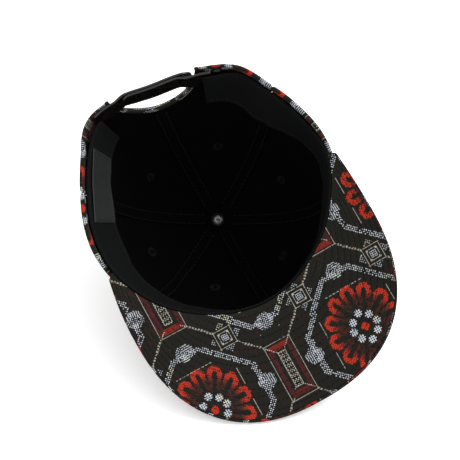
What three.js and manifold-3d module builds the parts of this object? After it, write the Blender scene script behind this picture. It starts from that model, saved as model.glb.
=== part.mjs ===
// Six-panel cap with a flat visor, lying upside down as it comes to rest on a table.
// It leans forward and to its left: the crown's cloth is pressed flat where it lies,
// and the rim of the visor touches the table.
//
// Lengths are in millimetres. The cap's own frame has the head opening facing +Z,
// the visor towards -Y and the crown's top at the lowest Z. The outer group turns
// that frame into the rest pose, with the table at z = 0.
// Azimuths are measured round the head opening from the front (-Y) towards +X.

import * as THREE from 'three';
import { mergeVertices } from 'three/addons/utils/BufferGeometryUtils.js';
import Module from 'manifold-3d';

const wasm = await Module();
wasm.setup();

const DEG = Math.PI / 180;

// Rim of the crown, outside: a worn, slightly lopsided round
const RIM = [
  { azimuth: 0, radius: 89.0 },
  { azimuth: 30, radius: 88.0 },
  { azimuth: 58, radius: 89.0 },
  { azimuth: 80, radius: 91.5 },
  { azimuth: 106, radius: 88.8 },
  { azimuth: 123, radius: 89.5 },
  { azimuth: 138, radius: 93.6 },
  { azimuth: 152, radius: 91.0 },
  { azimuth: 166, radius: 88.5 },
  { azimuth: 180, radius: 89.0 },
  { azimuth: 196, radius: 96.3 },
  { azimuth: 210, radius: 100.6 },
  { azimuth: 226, radius: 93.2 },
  { azimuth: 242, radius: 89.8 },
  { azimuth: 270, radius: 90.0 },
  { azimuth: 302, radius: 88.5 },
  { azimuth: 330, radius: 87.5 },
];

// Crown sections from the rim to the button: how deep each lies,
// and its size as a share of the rim's, at the front, sides and back
const CROWN_DEPTH = 112;
const CROWN = [
  { depth: 0, front: 1.0, side: 1.0, back: 1.0 },
  { depth: 14, front: 1.0, side: 0.988, back: 0.98 },
  { depth: 30, front: 0.992, side: 0.962, back: 0.94 },
  { depth: 48, front: 0.968, side: 0.918, back: 0.88 },
  { depth: 66, front: 0.912, side: 0.845, back: 0.795 },
  { depth: 82, front: 0.815, side: 0.745, back: 0.69 },
  { depth: 95, front: 0.67, side: 0.61, back: 0.56 },
  { depth: 104, front: 0.485, side: 0.44, back: 0.405 },
  { depth: 110, front: 0.26, side: 0.235, back: 0.22 },
  { depth: 112, front: 0.03, side: 0.03, back: 0.03 },
];
// The centre moves from the rim's to the button's below a share of the depth, and each
// panel is a little flatter than round between its seams
const BUTTON_SHIFT = { x: -3, y: -4, from: 0.2 };
const PANEL_FLATNESS = { share: 0.018, from: 0.15, to: 0.7 };

// Layers of cloth, each by its two faces' distance in from the crown's outer face
const GAP = 0.3;
const PANEL_THICKNESS = 1.6;
const HEM_THICKNESS = 3.2;
const HEM_HEIGHT = 6;
// Turns from the back within which the hem is flat, where the snap strap is sewn to it
const HEM_FLAT = { full: 33, end: 42 };
const SEAM_MARGIN = GAP / 2 + 0.03;
const LINING = { outer: 1.95, inner: 2.75 };
const TAPE = { outer: 3.2, inner: 3.9, halfWidth: 5, taper: 0.46, endRadius: 8.4 };

// Sweatband: cloth strip sewn at the rim. How far in from the crown's outer face its
// sewn edge lies, and how much further its free edge stands off the wall
const BAND = {
  thickness: 1.2, height: 31, sideDrop: 3.4, frontDrop: 0.6, dropFade: 12, end: 26, columns: 40,
};
const BAND_FIT = [
  { azimuth: 0, sewn: 4.15, lean: 1.5 },
  { azimuth: 60, sewn: 4.15, lean: 1.5 },
  { azimuth: 90, sewn: 4.15, lean: 3 },
  { azimuth: 120, sewn: 4.15, lean: 12 },
  { azimuth: 136, sewn: 4.5, lean: 10 },
  { azimuth: 148, sewn: 6.8, lean: 5.5 },
  { azimuth: 180, sewn: 6.8, lean: 2.5 },
  { azimuth: 212, sewn: 6.8, lean: 4.5 },
  { azimuth: 224, sewn: 4.5, lean: 6 },
  { azimuth: 245, sewn: 4.15, lean: 9 },
  { azimuth: 275, sewn: 4.15, lean: 9 },
  { azimuth: 310, sewn: 4.15, lean: 4 },
];

// Visor. Its edge is a rounded front out to a share of its length, then a straighter
// run back to each corner
const VISOR = {
  halfWidth: 93.3,
  widestY: -62,
  frontY: -162.5,
  roundness: 2.4,
  frontShare: 0.8,
  cornerAzimuth: 80,
  cornerX: 88.5,
  cornerFlare: 1.8,
  cornerSkew: 1.2,
  cornerY: -19,
  seatEnd: 86,
  seatFade: 7,
  curveRadius: 290,
  rise: 3.8,
  innerOffset: 3.7,
  underThickness: 1.1,
  upperThickness: 2.4,
};
const VISOR_THICKNESS = VISOR.underThickness + GAP + VISOR.upperThickness;
// The front rim is made a little too high, and cut back to fit the visor
const SEAT_EXCESS = 1;
const SEAT_DROP = VISOR_THICKNESS - SEAT_EXCESS;
// Room cut for it in the rim: out past its corners, in past its inner edge, and upwards
const SEAT_ROOM = { reach: 1.01, inward: 0.04, above: 8 };

// Rest pose: which way the table's normal points in the cap's own frame
const REST = { tilt: 42, towards: 33 };

// Panels by the azimuth of their middle, and the seams between them from the front round
const PANELS = [
  { name: 'panel_front_right', middle: 30 },
  { name: 'panel_side_right', middle: 90 },
  { name: 'panel_back_right', middle: 150 },
  { name: 'panel_back_left', middle: 210 },
  { name: 'panel_side_left', middle: 270 },
  { name: 'panel_front_left', middle: 330 },
];
const SEAMS = ['front', 'front_right', 'back_right', 'back', 'back_left', 'front_left'];

// Button, rivet and eyelets
const BUTTON = { radius: 8.5, height: 5, sides: 16 };
const BUTTON_PROFILE = [
  { radius: 0.45, height: 0.92 },
  { radius: 0.8, height: 0.62 },
  { radius: 1, height: 0.2 },
  { radius: 0.96, height: 0 },
];
const RIVET = { radius: 5.2, height: 1.6, shank: 1.5, sides: 14 };
const RIVET_PROFILE = [
  { radius: 1, height: 0 },
  { radius: 0.93, height: 0.55 },
  { radius: 0.6, height: 0.9 },
];
const APEX_HOLE = 2.4;
const EYELET = {
  depth: 92, hole: 3.9, ring: 3.55, opening: 1.9, sunk: 0.15, proud: 0.25, cut: 8, sides: 12,
};

// Back opening and snap strap
const ARCH = { x: 2.5, halfWidth: 32, height: 38, steps: 20, above: 20, fromY: 55, length: 60 };
const BINDING = {
  width: 3, proud: 0.25, reach: 32, lastRow: 3.8, columns: 14, rows: 8,
  inner: PANEL_THICKNESS, lowerInner: HEM_THICKNESS + 0.1, lowerFrom: 4,
};
const STRAP = {
  height: 18,
  drop: 0.3,
  outer: { near: 2.5, far: 4.1, root: 206.5, tip: 159, bulgeFrom: 150 },
  inner: { near: 4.5, far: 6.1, root: 150, tip: 194, bulgeFrom: 160.5 },
  bulge: 2.2,
  bulgeFade: 6.5,
  bulgeEnd: 196.8,
  middle: 178,
  pegs: 5,
  pegSpacing: 8.5,
  pegRadius: 1.8,
  pegReach: 2.2,
  pegRoot: 0.4,
  holeRadius: 2.15,
  holeCut: 1,
  pegSides: 8,
  columns: 20,
  tipColumns: 6,
  tipTurn: 78,
};

// Label on the sweatband
const LABEL = {
  azimuth: 236, length: 57, drop: 4.5, height: 24, thickness: 0.6, gap: 0.7, columns: 6,
};

const COLOURS = {
  cloth: 0x33302a,
  lining: 0x0b0b0c,
  band: 0x17181a,
  plastic: 0x1d1816,
  chrome: 0xc8c8c8,
  thread: 0x2a2926,
  label: 0x0c0c0e,
};

// Curves through the tables

function catmull(p0, p1, p2, p3, t) {
  const a = 2 * p1;
  const b = p2 - p0;
  const c = 2 * p0 - 5 * p1 + 4 * p2 - p3;
  const d = 3 * p1 - p0 - 3 * p2 + p3;
  return 0.5 * (a + b * t + c * t * t + d * t * t * t);
}

// Smooth closed curve through a table with an azimuth column
function roundTable(rows, column) {
  const count = rows.length;
  const row = (i) => rows[(i + count) % count][column];
  return (azimuth) => {
    const turned = ((azimuth % 360) + 360) % 360;
    let i = count - 1;
    while (rows[i].azimuth > turned) i -= 1;
    const low = rows[i].azimuth;
    const high = i + 1 < count ? rows[i + 1].azimuth : 360;
    return catmull(row(i - 1), row(i), row(i + 1), row(i + 2), (turned - low) / (high - low));
  };
}

// Smooth open curve through a table, read at a fractional row number
function openTable(rows, column) {
  const last = rows.length - 1;
  const row = (i) => rows[Math.min(Math.max(i, 0), last)][column];
  return (place) => {
    const i = Math.min(Math.floor(place), last - 1);
    return catmull(row(i - 1), row(i), row(i + 1), row(i + 2), place - i);
  };
}

function smooth(low, high, value) {
  const t = Math.min(Math.max((value - low) / (high - low), 0), 1);
  return t * t * (3 - 2 * t);
}

const rimRadius = roundTable(RIM, 'radius');
const bandSewn = roundTable(BAND_FIT, 'sewn');
const bandLean = roundTable(BAND_FIT, 'lean');
const sectionDepth = openTable(CROWN, 'depth');
const sectionFront = openTable(CROWN, 'front');
const sectionSide = openTable(CROWN, 'side');
const sectionBack = openTable(CROWN, 'back');
const CROWN_ROWS = CROWN.length - 1;
const TOP_FROM = CROWN_ROWS - 3;
const HALVINGS = 30;

// Azimuth folded to -180..180, so that the front is near 0
function fromFront(azimuth) {
  return ((((azimuth + 180) % 360) + 360) % 360) - 180;
}

// Height of the visor's upward face: gently curved across, rising to the front
function visorHeight(x, y) {
  const across = (x * x - VISOR.cornerX * VISOR.cornerX) / (2 * VISOR.curveRadius);
  return across + Math.tan(VISOR.rise * DEG) * (VISOR.cornerY - y);
}

// Height of the crown's rim: level round the head, seated under the visor in front
function rimTop(azimuth) {
  const turned = Math.abs(fromFront(azimuth));
  if (turned > VISOR.cornerAzimuth) return 0;
  const radius = rimRadius(azimuth);
  return visorHeight(radius * Math.sin(azimuth * DEG), -radius * Math.cos(azimuth * DEG));
}

function rimHeight(azimuth) {
  const turned = Math.abs(fromFront(azimuth));
  const seat = 1 - smooth(VISOR.seatEnd, VISOR.seatEnd + VISOR.seatFade, turned);
  return rimTop(azimuth) - SEAT_DROP * seat;
}

// How far the crown's centre has moved towards the button, at a share of its depth
function centreShift(depth) {
  return smooth(BUTTON_SHIFT.from, 1, depth);
}

// Outer face of the crown before it is pressed, at a fractional row of the section table
function crownFace(azimuth, place) {
  const front = Math.max(Math.cos(azimuth * DEG), 0) ** 2;
  const back = Math.max(-Math.cos(azimuth * DEG), 0) ** 2;
  const side = 1 - front - back;
  const share = front * sectionFront(place) + side * sectionSide(place) + back * sectionBack(place);
  const depth = sectionDepth(place) / CROWN_DEPTH;
  const betweenSeams = (1 - Math.cos(6 * azimuth * DEG)) / 2;
  const { share: flatness, from, to } = PANEL_FLATNESS;
  const flat = 1 - flatness * betweenSeams * smooth(from, to, depth);
  const radius = rimRadius(azimuth) * share * flat;
  const shift = centreShift(depth);
  const top = rimHeight(azimuth);
  return new THREE.Vector3(
    radius * Math.sin(azimuth * DEG) + BUTTON_SHIFT.x * shift,
    -radius * Math.cos(azimuth * DEG) + BUTTON_SHIFT.y * shift,
    top - (CROWN_DEPTH + top) * depth,
  );
}

function crownNormal(azimuth, place) {
  const rows = 0.02;
  const turn = 0.5;
  const high = Math.min(place + rows, CROWN_ROWS);
  const low = Math.max(place - rows, 0);
  const along = crownFace(azimuth, high).sub(crownFace(azimuth, low));
  const around = crownFace(azimuth + turn, place).sub(crownFace(azimuth - turn, place));
  return around.cross(along).normalize().negate();
}

// Table plane in the cap's own frame, set by the lowest point of the visor's edge
const tableNormal = new THREE.Vector3(
  Math.sin(REST.tilt * DEG) * Math.sin(REST.towards * DEG),
  Math.sin(REST.tilt * DEG) * Math.cos(REST.towards * DEG),
  Math.cos(REST.tilt * DEG),
);

// Edge of the visor, from one corner at share -1 to the other at share 1
function visorEdge(share) {
  const side = Math.sign(share) || 1;
  const bend = VISOR.frontShare;
  const depth = VISOR.widestY - VISOR.frontY;
  if (Math.abs(share) <= bend) {
    const angle = (share / bend) * 90 * DEG;
    const power = 2 / VISOR.roundness;
    return {
      x: side * VISOR.halfWidth * Math.abs(Math.sin(angle)) ** power,
      y: VISOR.widestY - depth * Math.cos(angle) ** power,
    };
  }
  const along = (Math.abs(share) - bend) / (1 - bend);
  const corner = VISOR.cornerX + VISOR.cornerFlare + side * VISOR.cornerSkew;
  return {
    x: side * (VISOR.halfWidth - (VISOR.halfWidth - corner) * along * along),
    y: VISOR.widestY + (VISOR.cornerY - VISOR.widestY) * along,
  };
}

// Point of the visor: share runs along its edge, and out from the crown to that edge
function visorPoint(share, out, down) {
  const azimuth = share * VISOR.cornerAzimuth;
  const radius = rimRadius(azimuth) - VISOR.innerOffset;
  const edge = visorEdge(share);
  const x = THREE.MathUtils.lerp(radius * Math.sin(azimuth * DEG), edge.x, out);
  const y = THREE.MathUtils.lerp(-radius * Math.cos(azimuth * DEG), edge.y, out);
  return new THREE.Vector3(x, y, visorHeight(x, y) - down);
}

const VISOR_COLUMNS = 30;
const VISOR_ROWS = 4;

function lowestOfVisor() {
  let lowest = Infinity;
  for (let i = 0; i <= VISOR_COLUMNS; i += 1) {
    const share = (2 * i) / VISOR_COLUMNS - 1;
    lowest = Math.min(lowest, visorPoint(share, 1, VISOR_THICKNESS).dot(tableNormal));
  }
  return lowest;
}

const TABLE = lowestOfVisor();

// Cloth that would reach below the table lies flat on it, each layer on the last
function press(point, layer) {
  const above = point.dot(tableNormal) - TABLE;
  if (above < layer) point.addScaledVector(tableNormal, layer - above);
  return point;
}

function crownPoint(azimuth, place, inward) {
  const normal = crownNormal(azimuth, place);
  return press(crownFace(azimuth, place).addScaledVector(normal, -inward), inward);
}

// Row number at which a rising test turns true, found by halving
function findPlace(from, isPast) {
  let low = from;
  let high = CROWN_ROWS;
  for (let i = 0; i < HALVINGS; i += 1) {
    const middle = (low + high) / 2;
    if (isPast(middle)) high = middle;
    else low = middle;
  }
  return (low + high) / 2;
}

// Row number of the section at a depth below the rim
function placeAtDepth(depth) {
  return findPlace(0, (place) => sectionDepth(place) >= depth);
}

// Distance from the crown's middle line
function radiusAt(azimuth, place) {
  const face = crownFace(azimuth, place);
  const shift = centreShift(sectionDepth(place) / CROWN_DEPTH);
  return Math.hypot(face.x - BUTTON_SHIFT.x * shift, face.y - BUTTON_SHIFT.y * shift);
}

// Row number of the section whose radius is given, near the button
function placeAtRadius(azimuth, radius) {
  return findPlace(TOP_FROM, (place) => radiusAt(azimuth, place) <= radius);
}

// Closed bodies

function signedVolume(positions, index) {
  const a = new THREE.Vector3();
  const b = new THREE.Vector3();
  const c = new THREE.Vector3();
  let total = 0;
  for (let i = 0; i < index.length; i += 3) {
    a.fromArray(positions, index[i] * 3);
    b.fromArray(positions, index[i + 1] * 3);
    c.fromArray(positions, index[i + 2] * 3);
    total += a.dot(b.cross(c));
  }
  return total;
}

// Plate or shell between two grids of points: point(column, row, face), face 0 or 1
function slab(columns, rows, point, closed = false) {
  const across = closed ? columns : columns + 1;
  const positions = [];
  for (let face = 0; face < 2; face += 1) {
    for (let column = 0; column < across; column += 1) {
      for (let row = 0; row <= rows; row += 1) positions.push(...point(column, row, face).toArray());
    }
  }
  const at = (column, row, face) => (face * across + (column % across)) * (rows + 1) + row;
  const index = [];
  const quad = (a, b, c, d) => index.push(a, b, c, a, c, d);
  for (let column = 0; column < columns; column += 1) {
    for (let row = 0; row < rows; row += 1) {
      quad(at(column, row, 0), at(column + 1, row, 0), at(column + 1, row + 1, 0), at(column, row + 1, 0));
      quad(at(column, row, 1), at(column, row + 1, 1), at(column + 1, row + 1, 1), at(column + 1, row, 1));
    }
    quad(at(column, 0, 1), at(column + 1, 0, 1), at(column + 1, 0, 0), at(column, 0, 0));
    quad(at(column, rows, 0), at(column + 1, rows, 0), at(column + 1, rows, 1), at(column, rows, 1));
  }
  if (!closed) {
    for (let row = 0; row < rows; row += 1) {
      quad(at(0, row, 0), at(0, row + 1, 0), at(0, row + 1, 1), at(0, row, 1));
      quad(at(columns, row, 1), at(columns, row + 1, 1), at(columns, row + 1, 0), at(columns, row, 0));
    }
  }
  if (signedVolume(positions, index) < 0) index.reverse();
  const geometry = new THREE.BufferGeometry();
  geometry.setAttribute('position', new THREE.Float32BufferAttribute(positions, 3));
  geometry.setIndex(index);
  return geometry;
}

function toSolid(geometry) {
  const bare = geometry.clone();
  bare.deleteAttribute('normal');
  bare.deleteAttribute('uv');
  const merged = mergeVertices(bare, 1e-5);
  return new wasm.Manifold(new wasm.Mesh({
    numProp: 3,
    vertProperties: new Float32Array(merged.attributes.position.array),
    triVerts: new Uint32Array(merged.index.array),
  }));
}

function toGeometry(solid) {
  const mesh = solid.getMesh();
  const geometry = new THREE.BufferGeometry();
  geometry.setAttribute('position', new THREE.Float32BufferAttribute(mesh.vertProperties, 3));
  geometry.setIndex(new THREE.Uint32BufferAttribute(mesh.triVerts, 1));
  return geometry;
}

// Frame that stands on the crown's outer face, with +Z pointing out of the cap
function frameOnCrown(azimuth, place) {
  const rows = 0.05;
  const turn = 1;
  const origin = crownPoint(azimuth, place, 0);
  const along = crownPoint(azimuth, place + rows, 0).sub(crownPoint(azimuth, place - rows, 0));
  const around = crownPoint(azimuth + turn, place, 0).sub(crownPoint(azimuth - turn, place, 0));
  around.normalize();
  const normal = along.cross(around).normalize();
  const side = new THREE.Vector3().crossVectors(normal, around).normalize();
  return new THREE.Matrix4().makeBasis(around, side, normal).setPosition(origin);
}

// Cylinder from z = low to z = high in a frame
function postIn(frame, radius, low, high, sides) {
  const post = new THREE.CylinderGeometry(radius, radius, high - low, sides);
  post.rotateX(90 * DEG);
  post.translate(0, 0, (low + high) / 2);
  post.applyMatrix4(frame);
  return post;
}

// Eyelets, one in the middle of each panel

const EYELET_PLACE = placeAtDepth(EYELET.depth);
const EYELET_FRAMES = PANELS.map((panel) => frameOnCrown(panel.middle, EYELET_PLACE));

function eyeletHole(frame) {
  return toSolid(postIn(frame, EYELET.hole, -EYELET.cut, EYELET.cut, EYELET.sides));
}

function eyeletRing(frame) {
  const low = -LINING.inner - EYELET.proud;
  const high = -EYELET.sunk;
  const ring = new THREE.LatheGeometry(
    [
      new THREE.Vector2(EYELET.opening, low),
      new THREE.Vector2(EYELET.ring, low),
      new THREE.Vector2(EYELET.ring, high),
      new THREE.Vector2(EYELET.opening, high),
      new THREE.Vector2(EYELET.opening, low),
    ],
    EYELET.sides,
  );
  ring.rotateX(90 * DEG);
  ring.applyMatrix4(frame);
  return toGeometry(toSolid(ring));
}

// Back opening: an upright prism with an arched top, cut through the back

function archPrism(grow) {
  const shape = new THREE.Shape();
  const half = ARCH.halfWidth + grow;
  shape.moveTo(half, 0);
  for (let i = 1; i <= ARCH.steps; i += 1) {
    const angle = (i / ARCH.steps) * 180 * DEG;
    shape.lineTo(half * Math.cos(angle), (ARCH.height + grow) * Math.sin(angle));
  }
  shape.lineTo(-half, -ARCH.above);
  shape.lineTo(half, -ARCH.above);
  const extent = { depth: ARCH.length, bevelEnabled: false, steps: 1 };
  const prism = new THREE.ExtrudeGeometry(shape, extent);
  prism.rotateX(-90 * DEG);
  prism.translate(ARCH.x, ARCH.fromY, 0);
  return toSolid(prism);
}

// Rows shared by the crown's layers, so that their facets lie parallel

const PANEL_ANGLE = 360 / PANELS.length;
const PANEL_COLUMNS = 7;
const COLUMN_ANGLE = PANEL_ANGLE / PANEL_COLUMNS;
const HEM_PLACE = placeAtDepth(HEM_HEIGHT);
const CROWN_PLACES = [1.4, 2.2, 3, 3.8, 4.5, 5.2, 5.9, 6.6, 7.3, 8, 8.5];

function crownRow(azimuth, row) {
  if (row < CROWN_PLACES.length) return CROWN_PLACES[row];
  return placeAtRadius(azimuth, APEX_HOLE);
}

function hemThickness(azimuth) {
  const turned = 180 - Math.abs(fromFront(azimuth));
  const share = smooth(HEM_FLAT.full, HEM_FLAT.end, turned);
  return THREE.MathUtils.lerp(PANEL_THICKNESS, HEM_THICKNESS, share);
}

// Outer panels, hemmed at the rim, each kept clear of its neighbours along the seams

function panelShell(middle) {
  return slab(PANEL_COLUMNS, CROWN_PLACES.length + 2, (column, row, face) => {
    const edge = (2 * column) / PANEL_COLUMNS - 1;
    const azimuth = middle + (PANEL_ANGLE / 2) * edge;
    let place = crownRow(azimuth, row - 2);
    let inward = PANEL_THICKNESS;
    if (row === 0) {
      place = 0;
      inward = hemThickness(azimuth);
    }
    if (row === 1) place = HEM_PLACE;
    const onSeam = column === 0 || column === PANEL_COLUMNS;
    const margin = onSeam ? SEAM_MARGIN / radiusAt(azimuth, place) / DEG : 0;
    return crownPoint(azimuth - edge * margin, place, face ? inward : 0);
  });
}

// Room for the visor on the rim, with a gap all round
function visorRoom() {
  return toSolid(slab(VISOR_COLUMNS, VISOR_ROWS, (column, row, face) => {
    const share = SEAT_ROOM.reach * ((2 * column) / VISOR_COLUMNS - 1);
    const down = face ? VISOR_THICKNESS + GAP : -SEAT_ROOM.above;
    return visorPoint(share, row / VISOR_ROWS - SEAT_ROOM.inward, down);
  }));
}

function archRoom() {
  return archPrism(BINDING.width + GAP);
}

function panelGeometry(middle, eyeletFrame) {
  let solid = toSolid(panelShell(middle));
  const turned = Math.abs(fromFront(middle));
  if (turned < 180 - PANEL_ANGLE) solid = solid.subtract(visorRoom());
  else solid = solid.subtract(archRoom());
  return toGeometry(solid.subtract(eyeletHole(eyeletFrame)));
}

// Lining: one black shell inside the panels

function liningGeometry() {
  const columns = PANELS.length * PANEL_COLUMNS;
  const shell = slab(columns, CROWN_PLACES.length, (column, row, face) => {
    const azimuth = column * COLUMN_ANGLE;
    return crownPoint(azimuth, crownRow(azimuth, row), face ? LINING.inner : LINING.outer);
  }, true);
  let solid = toSolid(shell).subtract(archRoom());
  for (const frame of EYELET_FRAMES) solid = solid.subtract(eyeletHole(frame));
  return toGeometry(solid);
}

// Tapes over the seams inside, from under the sweatband to the rivet, lying on the
// lining's facets on each side of the seam

function tapeGeometry(azimuth) {
  const shell = slab(2, CROWN_PLACES.length, (column, row, face) => {
    const place = row < CROWN_PLACES.length
      ? CROWN_PLACES[row] : placeAtRadius(azimuth, TAPE.endRadius);
    const inward = face ? TAPE.inner : TAPE.outer;
    const seam = crownPoint(azimuth, place, inward);
    const facet = crownPoint(azimuth + (column - 1) * COLUMN_ANGLE, place, inward);
    const half = Math.min(TAPE.halfWidth, radiusAt(azimuth, place) * TAPE.taper);
    return column === 1 ? seam : seam.lerp(facet, half / seam.distanceTo(facet));
  });
  const solid = toSolid(shell);
  return toGeometry(azimuth === 180 ? solid.subtract(archRoom()) : solid);
}

// Sweatband and what lies on it

function bandTop(azimuth) {
  const turned = Math.abs(fromFront(azimuth));
  const side = smooth(VISOR.cornerAzimuth, VISOR.cornerAzimuth + BAND.dropFade, turned);
  return rimTop(azimuth) - THREE.MathUtils.lerp(BAND.frontDrop, BAND.sideDrop, side);
}

// Point at a height inside the crown's wall, and so far in from its outer face
function wallPoint(azimuth, height, inward) {
  const top = rimHeight(azimuth);
  const depth = Math.max(((top - height) / (CROWN_DEPTH + top)) * CROWN_DEPTH, 0);
  const face = crownFace(azimuth, placeAtDepth(depth));
  const radius = Math.hypot(face.x, face.y);
  const scale = (radius - inward) / radius;
  return new THREE.Vector3(face.x * scale, face.y * scale, height);
}

// Point of the sweatband, a drop below its sewn edge and proud of its outer face
function bandPoint(azimuth, drop, proud) {
  const inward = bandSewn(azimuth) + bandLean(azimuth) * (drop / BAND.height) + proud;
  return wallPoint(azimuth, bandTop(azimuth) - drop, inward);
}

function bandGeometry() {
  const start = 180 + BAND.end;
  const span = 360 - 2 * BAND.end;
  return slab(BAND.columns, 2, (column, row, face) => {
    const azimuth = start + (column / BAND.columns) * span;
    return bandPoint(azimuth, (row / 2) * BAND.height, face ? BAND.thickness : 0);
  });
}

function labelGeometry() {
  const half = (LABEL.length / 2 / rimRadius(LABEL.azimuth)) / DEG;
  return slab(LABEL.columns, 1, (column, row, face) => {
    const azimuth = LABEL.azimuth + ((2 * column) / LABEL.columns - 1) * half;
    const proud = BAND.thickness + LABEL.gap + (face ? LABEL.thickness : 0);
    return bandPoint(azimuth, LABEL.drop + row * LABEL.height, proud);
  });
}

// Visor: the cloth that faces up here, and the stiff upper piece behind it

function visorGeometry(high, low) {
  return slab(VISOR_COLUMNS, VISOR_ROWS, (column, row, face) => {
    const share = (2 * column) / VISOR_COLUMNS - 1;
    return visorPoint(share, row / VISOR_ROWS, face ? low : high);
  });
}

// Binding round the back opening

function bindingGeometry() {
  const shell = slab(BINDING.columns, BINDING.rows, (column, row, face) => {
    const azimuth = 180 + ((2 * column) / BINDING.columns - 1) * BINDING.reach;
    const place = (row / BINDING.rows) * BINDING.lastRow;
    const inner = row < BINDING.lowerFrom ? BINDING.inner : BINDING.lowerInner;
    return crownPoint(azimuth, place, face ? inner : -BINDING.proud);
  });
  const sleeve = archPrism(BINDING.width).subtract(archPrism(0));
  return toGeometry(toSolid(shell).intersect(sleeve));
}

// Snap strap: two overlapping plastic tabs, the inner one's pegs in the outer one's holes

// Where the back is open, the tabs stand out to the crown's outer face
function strapPoint(tab, azimuth, height, inward) {
  const { bulge, bulgeFade, bulgeEnd } = STRAP;
  const rise = smooth(tab.bulgeFrom, tab.bulgeFrom + bulgeFade, azimuth);
  const fall = 1 - smooth(bulgeEnd - bulgeFade, bulgeEnd, azimuth);
  return wallPoint(azimuth, height, inward - bulge * rise * fall);
}

function strapTab(tab) {
  const { columns, tipColumns, tipTurn } = STRAP;
  const body = columns - tipColumns;
  const half = STRAP.height / 2;
  const toTip = Math.sign(tab.tip - tab.root);
  const reach = (half / rimRadius(180)) / DEG;
  return slab(columns, 2, (column, row, face) => {
    const straight = Math.min(column / body, 1);
    const bend = Math.max((column - body) / tipColumns, 0) * tipTurn * DEG;
    const shoulder = tab.tip - toTip * reach;
    const azimuth = tab.root + (shoulder - tab.root) * straight + toTip * reach * Math.sin(bend);
    const height = -STRAP.drop - half + (row - 1) * half * Math.cos(bend);
    return strapPoint(tab, azimuth, height, face ? tab.far : tab.near);
  });
}

function strapPost(tab, i, radius, low, high) {
  const offset = (i - (STRAP.pegs - 1) / 2) * STRAP.pegSpacing;
  const azimuth = STRAP.middle + (offset / rimRadius(180)) / DEG;
  const height = -STRAP.drop - STRAP.height / 2;
  const centre = strapPoint(tab, azimuth, height, low);
  const outside = strapPoint(tab, azimuth, height, high);
  const frame = new THREE.Matrix4().lookAt(outside, centre, new THREE.Vector3(0, 0, 1));
  frame.setPosition(centre);
  return toSolid(postIn(frame, radius, 0, centre.distanceTo(outside), STRAP.pegSides));
}

function strapOuterGeometry() {
  const inside = STRAP.outer.far + STRAP.holeCut;
  const outside = STRAP.outer.near - STRAP.holeCut;
  let solid = toSolid(strapTab(STRAP.outer));
  for (let i = 0; i < STRAP.pegs; i += 1) {
    solid = solid.subtract(strapPost(STRAP.outer, i, STRAP.holeRadius, inside, outside));
  }
  return toGeometry(solid);
}

function strapInnerGeometry() {
  const root = STRAP.inner.near + STRAP.pegRoot;
  let solid = toSolid(strapTab(STRAP.inner));
  for (let i = 0; i < STRAP.pegs; i += 1) {
    solid = solid.add(strapPost(STRAP.inner, i, STRAP.pegRadius, root, STRAP.pegReach));
  }
  return toGeometry(solid);
}

// Button outside and rivet inside, on the crown's top

function turned(profile, sides) {
  const lathe = new THREE.LatheGeometry(profile.map(([r, z]) => new THREE.Vector2(r, z)), sides);
  lathe.rotateX(90 * DEG);
  lathe.translate(BUTTON_SHIFT.x, BUTTON_SHIFT.y, 0);
  return toGeometry(toSolid(lathe));
}

function buttonGeometry() {
  const base = -CROWN_DEPTH - GAP;
  const dome = BUTTON_PROFILE.map((row) => [
    row.radius * BUTTON.radius,
    base - row.height * BUTTON.height,
  ]);
  return turned([[0, base - BUTTON.height], ...dome, [0, base]], BUTTON.sides);
}

function rivetGeometry() {
  const seat = -CROWN_DEPTH + LINING.inner + GAP;
  const shank = [[0, -CROWN_DEPTH], [RIVET.shank, -CROWN_DEPTH], [RIVET.shank, seat]];
  const head = RIVET_PROFILE.map((row) => [
    row.radius * RIVET.radius,
    seat + row.height * RIVET.height,
  ]);
  return turned([...shank, ...head, [0, seat + RIVET.height]], RIVET.sides);
}

// Assembly

function material(colour, roughness, metalness = 0) {
  return new THREE.MeshStandardMaterial({ color: colour, roughness, metalness });
}

const FINISH = {
  cloth: material(COLOURS.cloth, 0.9),
  lining: material(COLOURS.lining, 0.95),
  band: material(COLOURS.band, 0.9),
  plastic: material(COLOURS.plastic, 0.35),
  chrome: material(COLOURS.chrome, 0.15, 1),
  thread: material(COLOURS.thread, 0.8),
  label: material(COLOURS.label, 0.6),
};

const cap = new THREE.Group();

function add(name, geometry, finish) {
  const mesh = new THREE.Mesh(geometry, FINISH[finish]);
  mesh.name = name;
  cap.add(mesh);
}

PANELS.forEach((panel, i) => {
  add(panel.name, panelGeometry(panel.middle, EYELET_FRAMES[i]), 'cloth');
  add(panel.name.replace('panel', 'eyelet'), eyeletRing(EYELET_FRAMES[i]), 'thread');
});
add('lining', liningGeometry(), 'lining');
SEAMS.forEach((place, i) => {
  add(`seam_tape_${place}`, tapeGeometry(i * PANEL_ANGLE), 'lining');
});
add('sweatband', bandGeometry(), 'band');
add('label', labelGeometry(), 'label');
add('visor_under', visorGeometry(0, VISOR.underThickness), 'cloth');
add('visor_upper', visorGeometry(VISOR.underThickness + GAP, VISOR_THICKNESS), 'cloth');
add('arch_binding', bindingGeometry(), 'cloth');
add('strap_outer', strapOuterGeometry(), 'plastic');
add('strap_inner', strapInnerGeometry(), 'plastic');
add('button', buttonGeometry(), 'cloth');
add('rivet', rivetGeometry(), 'chrome');

// Rest pose: the table's normal turned to +Z, the visor towards -Y, the table at z = 0
const forward = new THREE.Vector3(0, -1, 0);
const backward = forward.clone().addScaledVector(tableNormal, -forward.dot(tableNormal));
backward.normalize().negate();
const right = new THREE.Vector3().crossVectors(backward, tableNormal);
const restTurn = new THREE.Matrix4().makeBasis(right, backward, tableNormal).transpose();
cap.applyMatrix4(restTurn);
cap.updateMatrixWorld(true);
const box = new THREE.Box3().setFromObject(cap, true);
cap.position.set(-(box.min.x + box.max.x) / 2, -(box.min.y + box.max.y) / 2, -TABLE);

const group = new THREE.Group();
group.add(cap);
export default group;
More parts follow.
